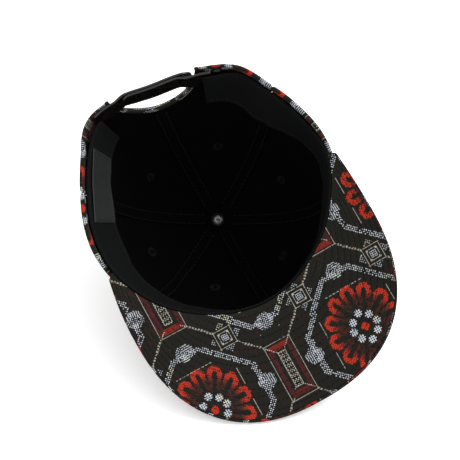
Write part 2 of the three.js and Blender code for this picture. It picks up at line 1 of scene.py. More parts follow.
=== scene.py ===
"""Six-panel cap with a flat visor, lying upside down as it comes to rest on a table.

The cap's own frame is in millimetres: the head opening faces +Z, the visor points to -Y
and the crown's top has the lowest Z. Azimuths are in degrees, measured round the opening
from the front (-Y) towards +X. The function world() brings points from there to the table
in metres. Cloth coordinates are millimetres along the weft and the warp.
"""
import math

import bmesh
import bpy
import numpy as np
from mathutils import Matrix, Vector

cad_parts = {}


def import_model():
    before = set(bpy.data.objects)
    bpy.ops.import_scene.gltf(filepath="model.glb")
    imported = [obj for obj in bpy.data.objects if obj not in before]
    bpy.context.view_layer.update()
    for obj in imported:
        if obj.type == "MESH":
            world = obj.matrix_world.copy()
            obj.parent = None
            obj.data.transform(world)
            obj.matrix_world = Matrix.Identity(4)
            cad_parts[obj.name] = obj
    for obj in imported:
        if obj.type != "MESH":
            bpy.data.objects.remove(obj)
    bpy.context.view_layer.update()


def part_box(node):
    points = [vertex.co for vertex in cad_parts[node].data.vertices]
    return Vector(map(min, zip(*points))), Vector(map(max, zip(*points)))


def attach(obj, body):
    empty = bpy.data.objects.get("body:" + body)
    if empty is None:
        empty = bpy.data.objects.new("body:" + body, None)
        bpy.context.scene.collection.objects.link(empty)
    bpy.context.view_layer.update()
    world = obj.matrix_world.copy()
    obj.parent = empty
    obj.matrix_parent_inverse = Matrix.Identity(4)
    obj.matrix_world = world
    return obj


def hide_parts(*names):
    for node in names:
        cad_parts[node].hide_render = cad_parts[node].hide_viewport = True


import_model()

DEG = math.pi / 180
MM = 0.001

# Rim of the crown, outside: azimuth, radius
RIM = (
    (0, 89.0), (30, 88.0), (58, 89.0), (80, 91.5), (106, 88.8), (123, 89.5), (138, 93.6),
    (152, 91.0), (166, 88.5), (180, 89.0), (196, 96.3), (210, 100.6), (226, 93.2), (242, 89.8),
    (270, 90.0), (302, 88.5), (330, 87.5),
)
# Crown sections: depth below the rim, and size as a share of the rim's at front, side, back
CROWN = (
    (0, 1.0, 1.0, 1.0), (14, 1.0, 0.988, 0.98), (30, 0.992, 0.962, 0.94),
    (48, 0.968, 0.918, 0.88), (66, 0.912, 0.845, 0.795), (82, 0.815, 0.745, 0.69),
    (95, 0.67, 0.61, 0.56), (104, 0.485, 0.44, 0.405), (110, 0.26, 0.235, 0.22),
    (112, 0.03, 0.03, 0.03),
)
CROWN_DEPTH = 112
CROWN_ROWS = len(CROWN) - 1
BUTTON_SHIFT = {"x": -3, "y": -4, "from": 0.2}
PANEL_FLATNESS = {"share": 0.018, "from": 0.15, "to": 0.7}
# Unevenness of the soft cloth, and its waves: size, turns round the crown, drift, phase
CRUMPLE = {"size": 0.22, "fade_in": (8, 30), "fade_out": (100, 110)}
CRUMPLE_WAVES = (
    (1, 5, 0.05, 0.7), (0.7, 11, -0.09, 2.1), (0.6, 3, 0.16, 4.0), (0.4, 17, 0.13, 1.3),
)
# How far apart two places are, in rows and degrees, when a direction is read from them
NORMAL_STEP = {"rows": 0.02, "azimuth": 0.5}
EYELET_STEP = {"rows": 0.05, "azimuth": 1}
# The crown's last rows, which are searched for a radius near the button
BUTTON_SEARCH = {"rows": 3, "steps": 400}

# Layers of cloth, each by how far in from the crown's outer face it lies
GAP = 0.3
PANEL_THICKNESS = 1.6
HEM_THICKNESS = 3.2
HEM_HEIGHT = 6
HEM_FADE = 2
HEM_ROUND = HEM_THICKNESS / 2
# Turns from the back within which the hem is flat, where the snap strap is sewn to it
HEM_FLAT = (33, 42)
LINING = {"outer": 1.95, "inner": 2.75, "first_depth": 20, "rows": 60, "columns": 240}
TAPE = {
    "outer": 3.1, "inner": 3.9, "half_width": 5, "taper": 0.46, "end_radius": 8.4,
    "first_depth": 24, "rows": 90, "puff": 0.16, "ridges": 3,
}

# Sweatband: how far in its sewn edge lies and how much further its free edge stands off
BAND = {
    "thickness": 1.2, "height": 31, "side_drop": 3.4, "front_drop": 0.6, "fade": 12, "end": 26,
    "loose_from": 4, "loose": 0.35, "columns": 320,
}
BAND_FIT = (
    (0, 4.15, 1.5), (60, 4.15, 1.5), (90, 4.15, 3), (120, 4.15, 12), (136, 4.5, 10),
    (148, 6.8, 5.5), (180, 6.8, 2.5), (212, 6.8, 4.5), (224, 4.5, 6), (245, 4.15, 9),
    (275, 4.15, 9), (310, 4.15, 4),
)
# Waves of the sweatband's free edge: size, turns round the crown, phase
BAND_WAVES = ((1, 7, 0.6), (0.7, 13, 2.4), (0.35, 29, 1.1))
LABEL = {
    "azimuth": 236, "length": 57, "drop": 4.5, "height": 24, "thickness": 0.6, "lift": 0.1,
    "bulge": 0.9, "bulge_power": 4, "columns": 60,
}

VISOR = {
    "half_width": 93.3, "widest_y": -62, "front_y": -162.5, "roundness": 2.4,
    "front_share": 0.8, "corner_azimuth": 80, "corner_x": 88.5, "corner_y": -19,
    "corner_flare": 1.8, "corner_skew": 1.2, "corner_fade": 4, "seat_end": 86,
    "seat_fade": 7, "curve_radius": 290, "rise": 3.8, "inner_offset": 3.7, "under": 1.1,
    "upper": 2.4,
}
VISOR_THICKNESS = VISOR["under"] + GAP + VISOR["upper"]
SEAT_DROP = VISOR_THICKNESS - 1
UNDER_INSET = 2.2
# Rows of stitching that run along the visor's edge, and the groove that each one draws
VISOR_ROWS = {"first": 6.0, "spacing": 5.6, "depth": 0.32, "width": 0.75, "margin": 3}
# Where a medallion's centre falls on each of the visor's faces, and the cloth's stretch
VISOR_CLOTH = {"under": (49.8, -132.9), "upper": (31.0, -96.0), "scale": 0.986}
VISOR_GRID = {"columns": 181, "crowding": 0.35, "under_rows": 130, "upper_rows": 110, "steps": 6}
# Rolled edge. A lip point is its distance in from the edge, depth and place along the cloth
BEAD = {
    "start": 2.35, "lip": ((2.1, 1.3, 1.9), (2.0, 0.6, 1.1), (1.75, 0.12, 0.6)), "flat": 1.75,
    "turn": 0.12, "steps": 12,
}

# Rest pose: which way the table's normal points in the cap's own frame
REST = {"tilt": 42, "towards": 33}

ARCH = {"x": 2.5, "half_width": 32, "height": 38, "binding": 3, "steps": 61, "clear": 1}
ARCH_CUT = {"near_y": 55, "far_y": 115, "top_z": 20}
BACK_WALL = {"radius": 90, "rounds": 6}
BINDING = {
    "proud": 0.25, "inner": 1.6, "lower_inner": 3.3, "lower": (20, 27), "columns": 120,
    "cloth": (-4, 32),
}
STRAP = {
    "height": 18, "drop": 0.3, "middle": 178, "pegs": 5, "spacing": 8.5, "corner": 0.45,
    "tip_turn": 87, "columns": 60, "tip_columns": 15, "face_rows": 7, "corner_steps": 4,
}
STRAP_TABS = {
    "strap_outer": {"near": 2.5, "far": 4.1, "root": 206.5, "tip": 159, "from": 150},
    "strap_inner": {"near": 4.5, "far": 6.1, "root": 150, "tip": 194, "from": 160.5},
}
STRAP_BULGE = {"out": 2.2, "fade": 6.5, "end": 196.8}
# Pegs are turned about their axis: radius, and height from a place inside the inner tab
PEG = {"sunk": 0.4, "tip": 2.2, "sides": 24}
PEG_PROFILE = ((0, -0.2), (1.6, -0.2), (1.6, 1.9), (1.8, 2.1), (1.7, 2.5), (1.2, 2.75), (0, 2.8))
PEG_HOLE_PROFILE = ((0, -3), (2.15, -3), (2.15, 4), (0, 4))

BUTTON = {"radius": 8.5, "rise": 5, "bulge": 0.85, "dome_end": 1.35, "dome_rows": 14, "sides": 48}
# Under the button's dome: distance in from its edge, and height
BUTTON_FOOT = ((0, 0.55), (0.6, 0.05), (2, 0))
RIVET = {"stem": 1.5, "sides": 64}
# Pressed head, from its edge to its middle: radius, height
RIVET_RELIEF = (
    (4.9, 0), (5.2, 0.2), (5.2, 0.7), (5.0, 1.0), (4.7, 1.1), (4.4, 0.98), (4.15, 0.6),
    (3.9, 0.45), (3.6, 0.6), (3.3, 0.95), (2.8, 1.3), (2.2, 1.5), (1.7, 1.56), (1.4, 1.45),
    (1.1, 1.2), (0.7, 1.08), (0, 1.05),
)
EYELET = {
    "depth": 92, "radius": 4.25, "opening": 0.5, "proud": 0.3, "inside": 0.35, "threads": 46,
    "per_thread": 6, "steps": 24, "squareness": 0.6, "cut_radius": 2.6, "cut_reach": 9,
    "cut_sides": 24, "cloth": 3,
}
EYELET_THREAD = {"ridge": 0.16, "sharpness": 0.7, "jitter": 0.06, "sunk": 0.12, "scatter": 12.9}

# Outer panels: azimuth of the middle, and where a medallion's centre falls on the cloth
PANELS = {
    "front_right": (30, 14, 36),
    "side_right": (90, 64, -1),
    "back_right": (150, -3.8, -1),
    "back_left": (210, 59.6, 1.5),
    "side_left": (270, -36, 0),
    "front_left": (330, -26, 44),
}
PANEL_HALF = 180 / len(PANELS)
PANEL_GRID = {"columns": 49, "rows": 70, "hem_steps": 5, "last_place": 8.8}
SEAMS = {
    "front": 0, "front_right": 60, "back_right": 120, "back": 180, "back_left": 240,
    "front_left": 300,
}
SEAM_MARGIN = 0.18
# How deep and how wide a seam draws the cloth in
SEAM_DIPS = ((0.95, 0.9), (0.3, 3.2))

STITCH = {"pitch": 3.4, "length": 2.7, "width": 0.6, "height": 0.42}
STITCH_MESH = {"Segments": 8, "Rings": 5, "Radius": 0.5}
STITCH_CLOTH = (3, 2, 0)
# Least share of a stitch's place that has to be clear for it to be made
STITCH_SHOWN = 0.99
STITCH_LINE = {"seams": 160, "band": 400, "label": 40, "visor": 400, "binding": 120}
TOPSTITCH = {"from_seam": 2.8, "sunk": 0.14, "first_depth": 8, "last_radius": 15}
TAPE_STITCH = {"share": 0.7, "puff": 0.12, "first_depth": 27, "last_radius": 10.4}
BAND_STITCH = {"drops": (2.2, 28.4), "from_end": 2}
LABEL_STITCH = {"across": 0.93, "margin": 2}
BINDING_STITCH = {"away": 2.2, "from_end": 0.1}


# Arrays and curves through the tables

def alike(*values):
    """Numbers and arrays brought to one shape."""
    return np.broadcast_arrays(*(np.asarray(value, float) for value in values))


def stacked(*values):
    """Points from their coordinates, which may be numbers or arrays."""
    return np.stack(alike(*values), axis=-1)


def unit(vectors):
    return vectors / np.linalg.norm(vectors, axis=-1, keepdims=True)


def run_along(points):
    """Length from the first point of a line to each of its points."""
    steps = np.linalg.norm(np.diff(points, axis=0), axis=1)
    return np.concatenate([[0], np.cumsum(steps)])


def smooth(low, high, value):
    t = np.clip((value - low) / (high - low), 0, 1)
    return t * t * (3 - 2 * t)


def catmull(p0, p1, p2, p3, t):
    a = 2 * p1
    b = p2 - p0
    c = 2 * p0 - 5 * p1 + 4 * p2 - p3
    d = 3 * p1 - p0 - 3 * p2 + p3
    return 0.5 * (a + b * t + c * t * t + d * t * t * t)


def round_table(rows, column):
    """Smooth closed curve through a table whose first column is the azimuth."""
    azimuths = np.array([row[0] for row in rows] + [360.0])
    values = np.array([row[column] for row in rows], float)
    count = len(values)

    def curve(azimuth):
        turned = np.mod(azimuth, 360.0)
        i = np.clip(np.searchsorted(azimuths, turned, side="right") - 1, 0, count - 1)
        t = (turned - azimuths[i]) / (azimuths[i + 1] - azimuths[i])
        return catmull(*(values[(i + step) % count] for step in (-1, 0, 1, 2)), t)

    return curve


def open_table(rows, column):
    """Smooth open curve through a table, read at a fractional row number."""
    values = np.array([row[column] for row in rows], float)
    last = len(values) - 1

    def curve(place):
        i = np.minimum(np.floor(place).astype(int), last - 1)
        near = (values[np.clip(i + step, 0, last)] for step in (-1, 0, 1, 2))
        return catmull(*near, place - i)

    return curve


rim_radius = round_table(RIM, 1)
band_sewn = round_table(BAND_FIT, 1)
band_lean = round_table(BAND_FIT, 2)
section_depth = open_table(CROWN, 0)
section_front = open_table(CROWN, 1)
section_side = open_table(CROWN, 2)
section_back = open_table(CROWN, 3)
PLACES = np.linspace(0, CROWN_ROWS, 2001)
DEPTHS = section_depth(PLACES)


def place_at_depth(depth):
    """Row number of the section at a depth below the rim."""
    return np.interp(depth, DEPTHS, PLACES)


# Surfaces of the cap, in its own frame

def from_front(azimuth):
    return np.mod(azimuth + 180, 360) - 180


def visor_height(x, y):
    across = (x * x - VISOR["corner_x"] ** 2) / (2 * VISOR["curve_radius"])
    return across + math.tan(VISOR["rise"] * DEG) * (VISOR["corner_y"] - y)


def rim_top(azimuth):
    """Height of the rim where the visor is sewn to it, and 0 further back."""
    radius = rim_radius(azimuth)
    seat = visor_height(radius * np.sin(azimuth * DEG), -radius * np.cos(azimuth * DEG))
    return np.where(np.abs(from_front(azimuth)) > VISOR["corner_azimuth"], 0.0, seat)


def rim_height(azimuth):
    turned = np.abs(from_front(azimuth))
    corner = VISOR["corner_azimuth"]
    seat = 1 - smooth(VISOR["seat_end"], VISOR["seat_end"] + VISOR["seat_fade"], turned)
    cut = 1 - smooth(corner, corner + VISOR["corner_fade"], turned)
    return rim_top(azimuth) - SEAT_DROP * seat - (VISOR_THICKNESS + GAP - SEAT_DROP) * cut


def crown_face(azimuth, place):
    """Outer face of the crown before it is pressed, at a fractional row of its sections."""
    azimuth, place = alike(azimuth, place)
    angle = azimuth * DEG
    facing = np.cos(angle)
    front = np.maximum(facing, 0) ** 2
    back = np.maximum(-facing, 0) ** 2
    share = (
        front * section_front(place)
        + (1 - front - back) * section_side(place)
        + back * section_back(place)
    )
    depth = section_depth(place) / CROWN_DEPTH
    between = (1 - np.cos(len(SEAMS) * angle)) / 2
    fullness = smooth(PANEL_FLATNESS["from"], PANEL_FLATNESS["to"], depth)
    radius = rim_radius(azimuth) * share * (1 - PANEL_FLATNESS["share"] * between * fullness)
    shift = smooth(BUTTON_SHIFT["from"], 1, depth)
    top = rim_height(azimuth)
    return stacked(
        radius * np.sin(angle) + BUTTON_SHIFT["x"] * shift,
        -radius * np.cos(angle) + BUTTON_SHIFT["y"] * shift,
        top - (CROWN_DEPTH + top) * depth,
    )


def crown_normal(azimuth, place):
    high = np.minimum(place + NORMAL_STEP["rows"], CROWN_ROWS)
    low = np.maximum(place - NORMAL_STEP["rows"], 0)
    turn = NORMAL_STEP["azimuth"]
    along = crown_face(azimuth, high) - crown_face(azimuth, low)
    around = crown_face(azimuth + turn, place) - crown_face(azimuth - turn, place)
    return -unit(np.cross(around, along))


def visor_edge(share):
    """Outline of the visor, from its left corner at -1 to its right corner at 1."""
    bend = VISOR["front_share"]
    side = np.where(share < 0, -1.0, 1.0)
    size = np.abs(share)
    angle = np.minimum(size / bend, 1) * 90 * DEG
    power = 2 / VISOR["roundness"]
    round_x = VISOR["half_width"] * np.abs(np.sin(angle)) ** power
    depth = VISOR["widest_y"] - VISOR["front_y"]
    round_y = VISOR["widest_y"] - depth * np.maximum(np.cos(angle), 0) ** power
    along = np.maximum(size - bend, 0) / (1 - bend)
    corner = VISOR["corner_x"] + VISOR["corner_flare"] + side * VISOR["corner_skew"]
    straight_x = VISOR["half_width"] - (VISOR["half_width"] - corner) * along * along
    straight_y = VISOR["widest_y"] + (VISOR["corner_y"] - VISOR["widest_y"]) * along
    x = side * np.where(size <= bend, round_x, straight_x)
    return x, np.where(size <= bend, round_y, straight_y)


def visor_ends(share):
    """Where a line across the visor starts at the crown, and where it meets the edge."""
    angle = share * VISOR["corner_azimuth"] * DEG
    radius = rim_radius(share * VISOR["corner_azimuth"]) - VISOR["inner_offset"]
    return radius * np.sin(angle), -radius * np.cos(angle), *visor_edge(share)


def visor_point(share, out, down):
    x0, y0, x1, y1 = visor_ends(share)
    x = x0 + (x1 - x0) * out
    y = y0 + (y1 - y0) * out
    return stacked(x, y, visor_height(x, y) - down)


tilt = REST["tilt"] * DEG
towards = REST["towards"] * DEG
TABLE_NORMAL = np.array([
    math.sin(tilt) * math.sin(towards), math.sin(tilt) * math.cos(towards), math.cos(tilt),
])
EDGE_SHARES = np.linspace(-1, 1, 31)
visor_rim = visor_point(EDGE_SHARES, 1.0, VISOR_THICKNESS)
TABLE = float((visor_rim @ TABLE_NORMAL).min())


def press(points, layer):
    """Cloth that would reach below the table lies flat on it, each layer on the last."""
    above = points @ TABLE_NORMAL - TABLE
    lift = np.maximum(layer - above, 0)
    return points + lift[..., None] * TABLE_NORMAL


def crumple(azimuth, place):
    """Slight unevenness of soft cloth, outwards in millimetres."""
    angle = azimuth * DEG
    depth = section_depth(place)
    wave = sum(
        size * np.sin(turns * angle + drift * depth + phase)
        for size, turns, drift, phase in CRUMPLE_WAVES
    )
    fade = smooth(*CRUMPLE["fade_in"], depth) * (1 - smooth(*CRUMPLE["fade_out"], depth))
    return CRUMPLE["size"] * wave * fade


def crown_point(azimuth, place, inward):
    """Point of the crown's cloth, some way in from its outer face, as it lies on the table."""
    azimuth, place, inward = alike(azimuth, place, inward)
    out = crumple(azimuth, place) - inward
    points = crown_face(azimuth, place) + out[..., None] * crown_normal(azimuth, place)
    return press(points, np.maximum(inward, 0))


def crown_radius(azimuth, place):
    face = crown_face(azimuth, place)
    shift = smooth(BUTTON_SHIFT["from"], 1, section_depth(place) / CROWN_DEPTH)
    x = face[..., 0] - BUTTON_SHIFT["x"] * shift
    y = face[..., 1] - BUTTON_SHIFT["y"] * shift
    return np.hypot(x, y)


def crown_arc(azimuth, place):
    """Length along the crown's face from the rim, at an azimuth."""
    return np.interp(place, PLACES, run_along(crown_face(azimuth, PLACES)))


def place_at_radius(azimuth, radius):
    """Row number near the button at which the crown has a radius."""
    first = CROWN_ROWS - BUTTON_SEARCH["rows"]
    places = np.linspace(first, CROWN_ROWS, BUTTON_SEARCH["steps"])
    return float(np.interp(-radius, -crown_radius(azimuth, places), places))


def wall_point(azimuth, height, inward):
    """Point level with a height, moved straight in from the crown's wall."""
    azimuth, height = alike(azimuth, height)
    top = rim_height(azimuth)
    depth = np.maximum((top - height) / (CROWN_DEPTH + top) * CROWN_DEPTH, 0)
    face = crown_face(azimuth, place_at_depth(depth))
    radius = np.hypot(face[..., 0], face[..., 1])
    scale = (radius - inward) / radius
    return stacked(face[..., 0] * scale, face[..., 1] * scale, height)


def back_wall(x, z, inward):
    """Point of the crown's back wall at a place across and a height, so far in."""
    x, z, inward = alike(x, z, inward)
    azimuth = 180 - np.arcsin(x / BACK_WALL["radius"]) / DEG
    for _ in range(BACK_WALL["rounds"]):
        top = rim_height(azimuth)
        place = place_at_depth((top - z) / (CROWN_DEPTH + top) * CROWN_DEPTH)
        face = crown_face(azimuth, place)
        radius = np.hypot(face[..., 0], face[..., 1])
        azimuth = azimuth + (face[..., 0] - x) / radius / DEG
    return crown_point(azimuth, place, inward)


def arch_point(angle, away, inward):
    """Point beside the back opening's edge, by its angle round the arch."""
    x = ARCH["x"] + (ARCH["half_width"] + away) * np.cos(angle)
    z = -(ARCH["height"] + away) * np.sin(angle)
    return back_wall(x, z, inward)


def band_top(azimuth):
    turned = np.abs(from_front(azimuth))
    side = smooth(VISOR["corner_azimuth"], VISOR["corner_azimuth"] + BAND["fade"], turned)
    return rim_top(azimuth) - (BAND["front_drop"] + (BAND["side_drop"] - BAND["front_drop"]) * side)


def band_wave(azimuth, drop):
    """Waviness of the sweatband, inwards in millimetres, strongest at its free edge."""
    angle = azimuth * DEG
    wave = sum(size * np.sin(turns * angle + phase) for size, turns, phase in BAND_WAVES)
    return BAND["loose"] * (wave + 1) * smooth(BAND["loose_from"], BAND["height"], drop)


def band_face(azimuth, drop, proud):
    """Point of the sweatband below its top edge, so far in from the face that is sewn on."""
    lean = band_lean(azimuth) * (drop / BAND["height"])
    inward = band_sewn(azimuth) + lean + proud + band_wave(azimuth, drop)
    return wall_point(azimuth, band_top(azimuth) - drop, inward)


def label_azimuth(share):
    """Azimuth at a share of the label's half length from its middle."""
    half = LABEL["length"] / 2 / rim_radius(LABEL["azimuth"]) / DEG
    return LABEL["azimuth"] + share * half


def label_back(share):
    """How far the label's back stands off the face of the sweatband that is sewn on."""
    bulge = LABEL["bulge"] * (1 - np.abs(share) ** LABEL["bulge_power"])
    return BAND["thickness"] + LABEL["lift"] + bulge


def tape_point(seam, place, across, inward):
    radius = crown_radius(seam, place)
    return crown_point(seam + across / radius / DEG, place, inward)


def tape_half_width(seam, place):
    return np.minimum(TAPE["half_width"], crown_radius(seam, place) * TAPE["taper"])


def strap_point(tab, azimuth, height, inward):
    """Where the back is open, the tabs stand out to the crown's outer face."""
    fade = STRAP_BULGE["fade"]
    rise = smooth(tab["from"], tab["from"] + fade, azimuth)
    fall = 1 - smooth(STRAP_BULGE["end"] - fade, STRAP_BULGE["end"], azimuth)
    return wall_point(azimuth, height, inward - STRAP_BULGE["out"] * rise * fall)


# From the cap's frame to the table, in metres

backward = unit(np.array([0.0, 1.0, 0.0]) - TABLE_NORMAL[1] * TABLE_NORMAL)
TO_TABLE = np.stack([np.cross(backward, TABLE_NORMAL), backward, TABLE_NORMAL])


def table_offset():
    """Shift that puts the middle of the turned visor where its solid has it."""
    low, high = (np.array(corner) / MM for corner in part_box("visor_upper"))
    rows = np.linspace(0, 1, 5)[None, :, None]
    downs = np.array([VISOR["under"] + GAP, VISOR_THICKNESS])[None, None, :]
    points = (visor_point(EDGE_SHARES[:, None, None], rows, downs) @ TO_TABLE.T).reshape(-1, 3)
    return ((low + high) - (points.min(axis=0) + points.max(axis=0))) / 2


OFFSET = table_offset()


def world(points):
    return (np.asarray(points) @ TO_TABLE.T + OFFSET) * MM


# Meshes

# Points of a turned body nearer than this are one, in metres
MERGE_DISTANCE = 1e-7


def new_object(name, mesh, material=None):
    mesh.name = name
    if material:
        mesh.materials.append(material)
    piece = bpy.data.objects.new(name, mesh)
    bpy.context.scene.collection.objects.link(piece)
    return piece


def loop_body(points, cloth, ring=False):
    """A closed body from closed sections: points and cloth are (columns, section, ...).

    Point k of a section lies across the cloth from point K-1-k. A ring's last column of
    cloth coordinates belongs to its first column of points.
    """
    columns, size = points.shape[:2]
    at = np.arange(columns * size).reshape(columns, size)
    spans = columns if ring else columns - 1
    c, k = (grid.ravel() for grid in np.indices((spans, size)))
    next_c = c + 1
    next_k = (k + 1) % size
    wrapped = next_c % columns
    faces = [np.stack([at[c, k], at[wrapped, k], at[wrapped, next_k], at[c, next_k]], axis=1)]
    around = (cloth[c, k], cloth[next_c, k], cloth[next_c, next_k], cloth[c, next_k])
    corners = [np.stack(around, axis=1)]
    if not ring:
        k = np.arange(size // 2 - 1)
        for column, order in ((0, 1), (columns - 1, -1)):
            end = np.stack([k, k + 1, size - 2 - k, size - 1 - k], axis=1)[:, ::order]
            faces.append(at[column, end])
            corners.append(cloth[column, end])
    faces = np.concatenate(faces)
    corners = np.concatenate(corners)
    vertices = world(points.reshape(-1, 3))
    first, second, third, fourth = (vertices[faces[:, i]] for i in range(4))
    volume = np.vdot(first, np.cross(second, third)) + np.vdot(first, np.cross(third, fourth))
    if volume < 0:
        faces = faces[:, ::-1]
        corners = corners[:, ::-1]
    mesh = bpy.data.meshes.new("body")
    mesh.from_pydata(vertices.tolist(), [], faces.tolist())
    layer = mesh.uv_layers.new(name="cloth")
    layer.uv.foreach_set("vector", np.ascontiguousarray(corners, np.float32).ravel())
    mesh.validate()
    mesh.polygons.foreach_set("use_smooth", np.ones(len(mesh.polygons), bool))
    return mesh


def round_section(length, thickness, steps, rows):
    """Section of a strip of cloth with rounded edges, as (along, through) places.

    It runs along the face at through = 0, round the far edge, back along the other
    face, and round the near edge.
    """
    radius = thickness / 2
    turn = np.linspace(0, math.pi, steps + 2)[1:-1]
    along = np.linspace(radius, length - radius, rows)
    there = stacked(along, 0)
    far = stacked(length - radius + radius * np.sin(turn), radius - radius * np.cos(turn))
    back = stacked(along[::-1], thickness)
    near = stacked(radius - radius * np.sin(turn), radius + radius * np.cos(turn))
    half = len(turn) // 2
    return np.concatenate([near[half:], there, far, back, near[:half]])


def turned_mesh(profile, axis, sides):
    """Lathe about an axis, given as its middle, side, up and outward vectors."""
    middle, side, up, outward = axis
    profile = np.array(profile, float)
    turn = np.linspace(0, 2 * math.pi, sides + 1)
    angles = turn[:-1, None]
    spread = np.cos(angles) * side + np.sin(angles) * up
    points = middle + profile[None, :, :1] * spread[:, None, :] + profile[None, :, 1:] * outward
    cloth = stacked(turn[:, None] * profile[None, :, 0], run_along(profile)[None, :])
    mesh = loop_body(points, cloth, ring=True)
    shape = bmesh.new()
    shape.from_mesh(mesh)
    bmesh.ops.remove_doubles(shape, verts=shape.verts, dist=MERGE_DISTANCE)
    shape.to_mesh(mesh)
    shape.free()
    return mesh


def cutter_between(near, far):
    """A plain closed body between two like outlines, to be taken out of a piece."""
    count = len(near)
    sides = [(i, (i + 1) % count, count + (i + 1) % count, count + i) for i in range(count)]
    ends = [tuple(range(count))[::-1], tuple(range(count, 2 * count))]
    mesh = bpy.data.meshes.new("cutter")
    mesh.from_pydata(world(np.concatenate([near, far])).tolist(), [], sides + ends)
    mesh.update()
    return new_object("cutter", mesh)


def applied(piece):
    """Turns a piece's modifiers into plain mesh."""
    graph = bpy.context.evaluated_depsgraph_get()
    mesh = bpy.data.meshes.new_from_object(
        piece.evaluated_get(graph), preserve_all_data_layers=True, depsgraph=graph
    )
    old = piece.data
    piece.modifiers.clear()
    piece.data = mesh
    bpy.data.meshes.remove(old)
    mesh.name = piece.name


def cut_away(piece, cutters):
    """Takes the cutters' closed bodies out of a piece."""
    for cutter in cutters:
        hole = piece.modifiers.new("cut", "BOOLEAN")
        hole.operation = "DIFFERENCE"
        hole.solver = "EXACT"
        hole.object = cutter
    applied(piece)
    for cutter in cutters:
        bpy.data.objects.remove(cutter)


def joined(pieces):
    """The first piece with the others in it."""
    with bpy.context.temp_override(
        active_object=pieces[0], selected_editable_objects=pieces, selected_objects=pieces
    ):
        bpy.ops.object.join()
    return pieces[0]


def settle(piece, slot, *nodes):
    """Attaches a finished piece to the root body and hides the model's nodes that it stands for. The
    slot is not used.
    """
    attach(piece, "root")
    if nodes:
        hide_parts(*nodes)


def add_piece(name, mesh, material, slot, node, cutters=()):
    piece = new_object(name, mesh, material)
    if cutters:
        cut_away(piece, cutters)
    settle(piece, slot, node)


# Cloth pieces

def hem_thickness(azimuth):
    share = smooth(*HEM_FLAT, 180 - np.abs(from_front(azimuth)))
    return PANEL_THICKNESS + (HEM_THICKNESS - PANEL_THICKNESS) * share


def panel_mesh(middle, centre_u, centre_v):
    """One outer panel with its rim turned in, drawn in a little along its two seams."""
    columns, rows, steps = (PANEL_GRID[name] for name in ("columns", "rows", "hem_steps"))
    turn = np.linspace(90, 0, steps + 1)[:-1] * DEG
    first = place_at_depth(HEM_ROUND)
    places = np.linspace(first, PANEL_GRID["last_place"], rows)
    round_place = place_at_depth(HEM_ROUND - HEM_ROUND * np.sin(turn))
    place = np.concatenate([round_place, places, places[::-1], round_place[::-1]])
    across = np.sin(np.linspace(-90, 90, columns) * DEG)
    thickness = hem_thickness(middle + across * PANEL_HALF)[:, None]
    hem = (1 - smooth(HEM_HEIGHT, HEM_HEIGHT + HEM_FADE, section_depth(places)))[None, ::-1]
    share = ((1 - np.cos(turn)) / 2)[None, :]
    inward = np.concatenate([
        thickness * share,
        np.zeros((columns, rows)),
        PANEL_THICKNESS + (thickness - PANEL_THICKNESS) * hem,
        thickness * (1 - share[:, ::-1]),
    ], axis=1)
    arc = crown_arc(middle, places) - crown_arc(middle, first) + HEM_ROUND * math.pi / 2
    round_arc = HEM_ROUND * (math.pi / 2 - turn)
    along = np.concatenate([round_arc, arc, -arc[::-1], -round_arc[::-1]])
    radius = crown_radius(middle, place)
    half_arc = PANEL_HALF * DEG * radius[None, :]
    reach = PANEL_HALF - SEAM_MARGIN / radius / DEG
    azimuth = middle + across[:, None] * reach[None, :]
    from_seam = (1 - np.abs(across))[:, None] * half_arc
    outside = np.concatenate([np.linspace(0, 1, steps), np.ones(rows), np.zeros(rows + steps)])
    dip = sum(deep * np.exp(-(from_seam / wide) ** 2) for deep, wide in SEAM_DIPS)
    points = crown_point(azimuth, place[None, :], inward + dip * outside[None, :])
    cloth = stacked(across[:, None] * half_arc - centre_u, along[None, :] - centre_v)
    return loop_body(points, cloth)


def arch_cutter():
    """Upright body with an arched lower edge, which opens the crown at the back."""
    half_width = ARCH["half_width"] + ARCH["binding"]
    height = ARCH["height"] + ARCH["binding"]
    angles = np.linspace(0, math.pi, ARCH["steps"])
    x = np.concatenate([half_width * np.cos(angles), [-half_width, half_width]]) + ARCH["x"]
    z = np.concatenate([-height * np.sin(angles), [ARCH_CUT["top_z"]] * 2])
    return cutter_between(stacked(x, ARCH_CUT["near_y"], z), stacked(x, ARCH_CUT["far_y"], z))


def eyelet_axis(azimuth):
    """Middle, sideways, along and outward directions at an eyelet."""
    place = float(place_at_depth(EYELET["depth"]))
    rows, turn = EYELET_STEP["rows"], EYELET_STEP["azimuth"]
    along = unit(crown_point(azimuth, place + rows, 0) - crown_point(azimuth, place - rows, 0))
    around = unit(crown_point(azimuth + turn, place, 0) - crown_point(azimuth - turn, place, 0))
    outward = unit(np.cross(along, around))
    return crown_point(azimuth, place, 0), around, unit(np.cross(outward, around)), outward


def eyelet_cutter(azimuth):
    middle, side, along, outward = eyelet_axis(azimuth)
    angles = np.arange(EYELET["cut_sides"])[:, None] * 2 * math.pi / EYELET["cut_sides"]
    ring = middle + EYELET["cut_radius"] * (np.cos(angles) * side + np.sin(angles) * along)
    reach = EYELET["cut_reach"] * outward
    return cutter_between(ring - reach, ring + reach)


def make_panels(material):
    for place, (middle, centre_u, centre_v) in PANELS.items():
        mesh = panel_mesh(middle, centre_u, centre_v)
        cutters = [eyelet_cutter(middle)]
        if "back" in place:
            cutters.append(arch_cutter())
        add_piece(f"cloth_{place}", mesh, material, "patterned_cloth", f"panel_{place}", cutters)


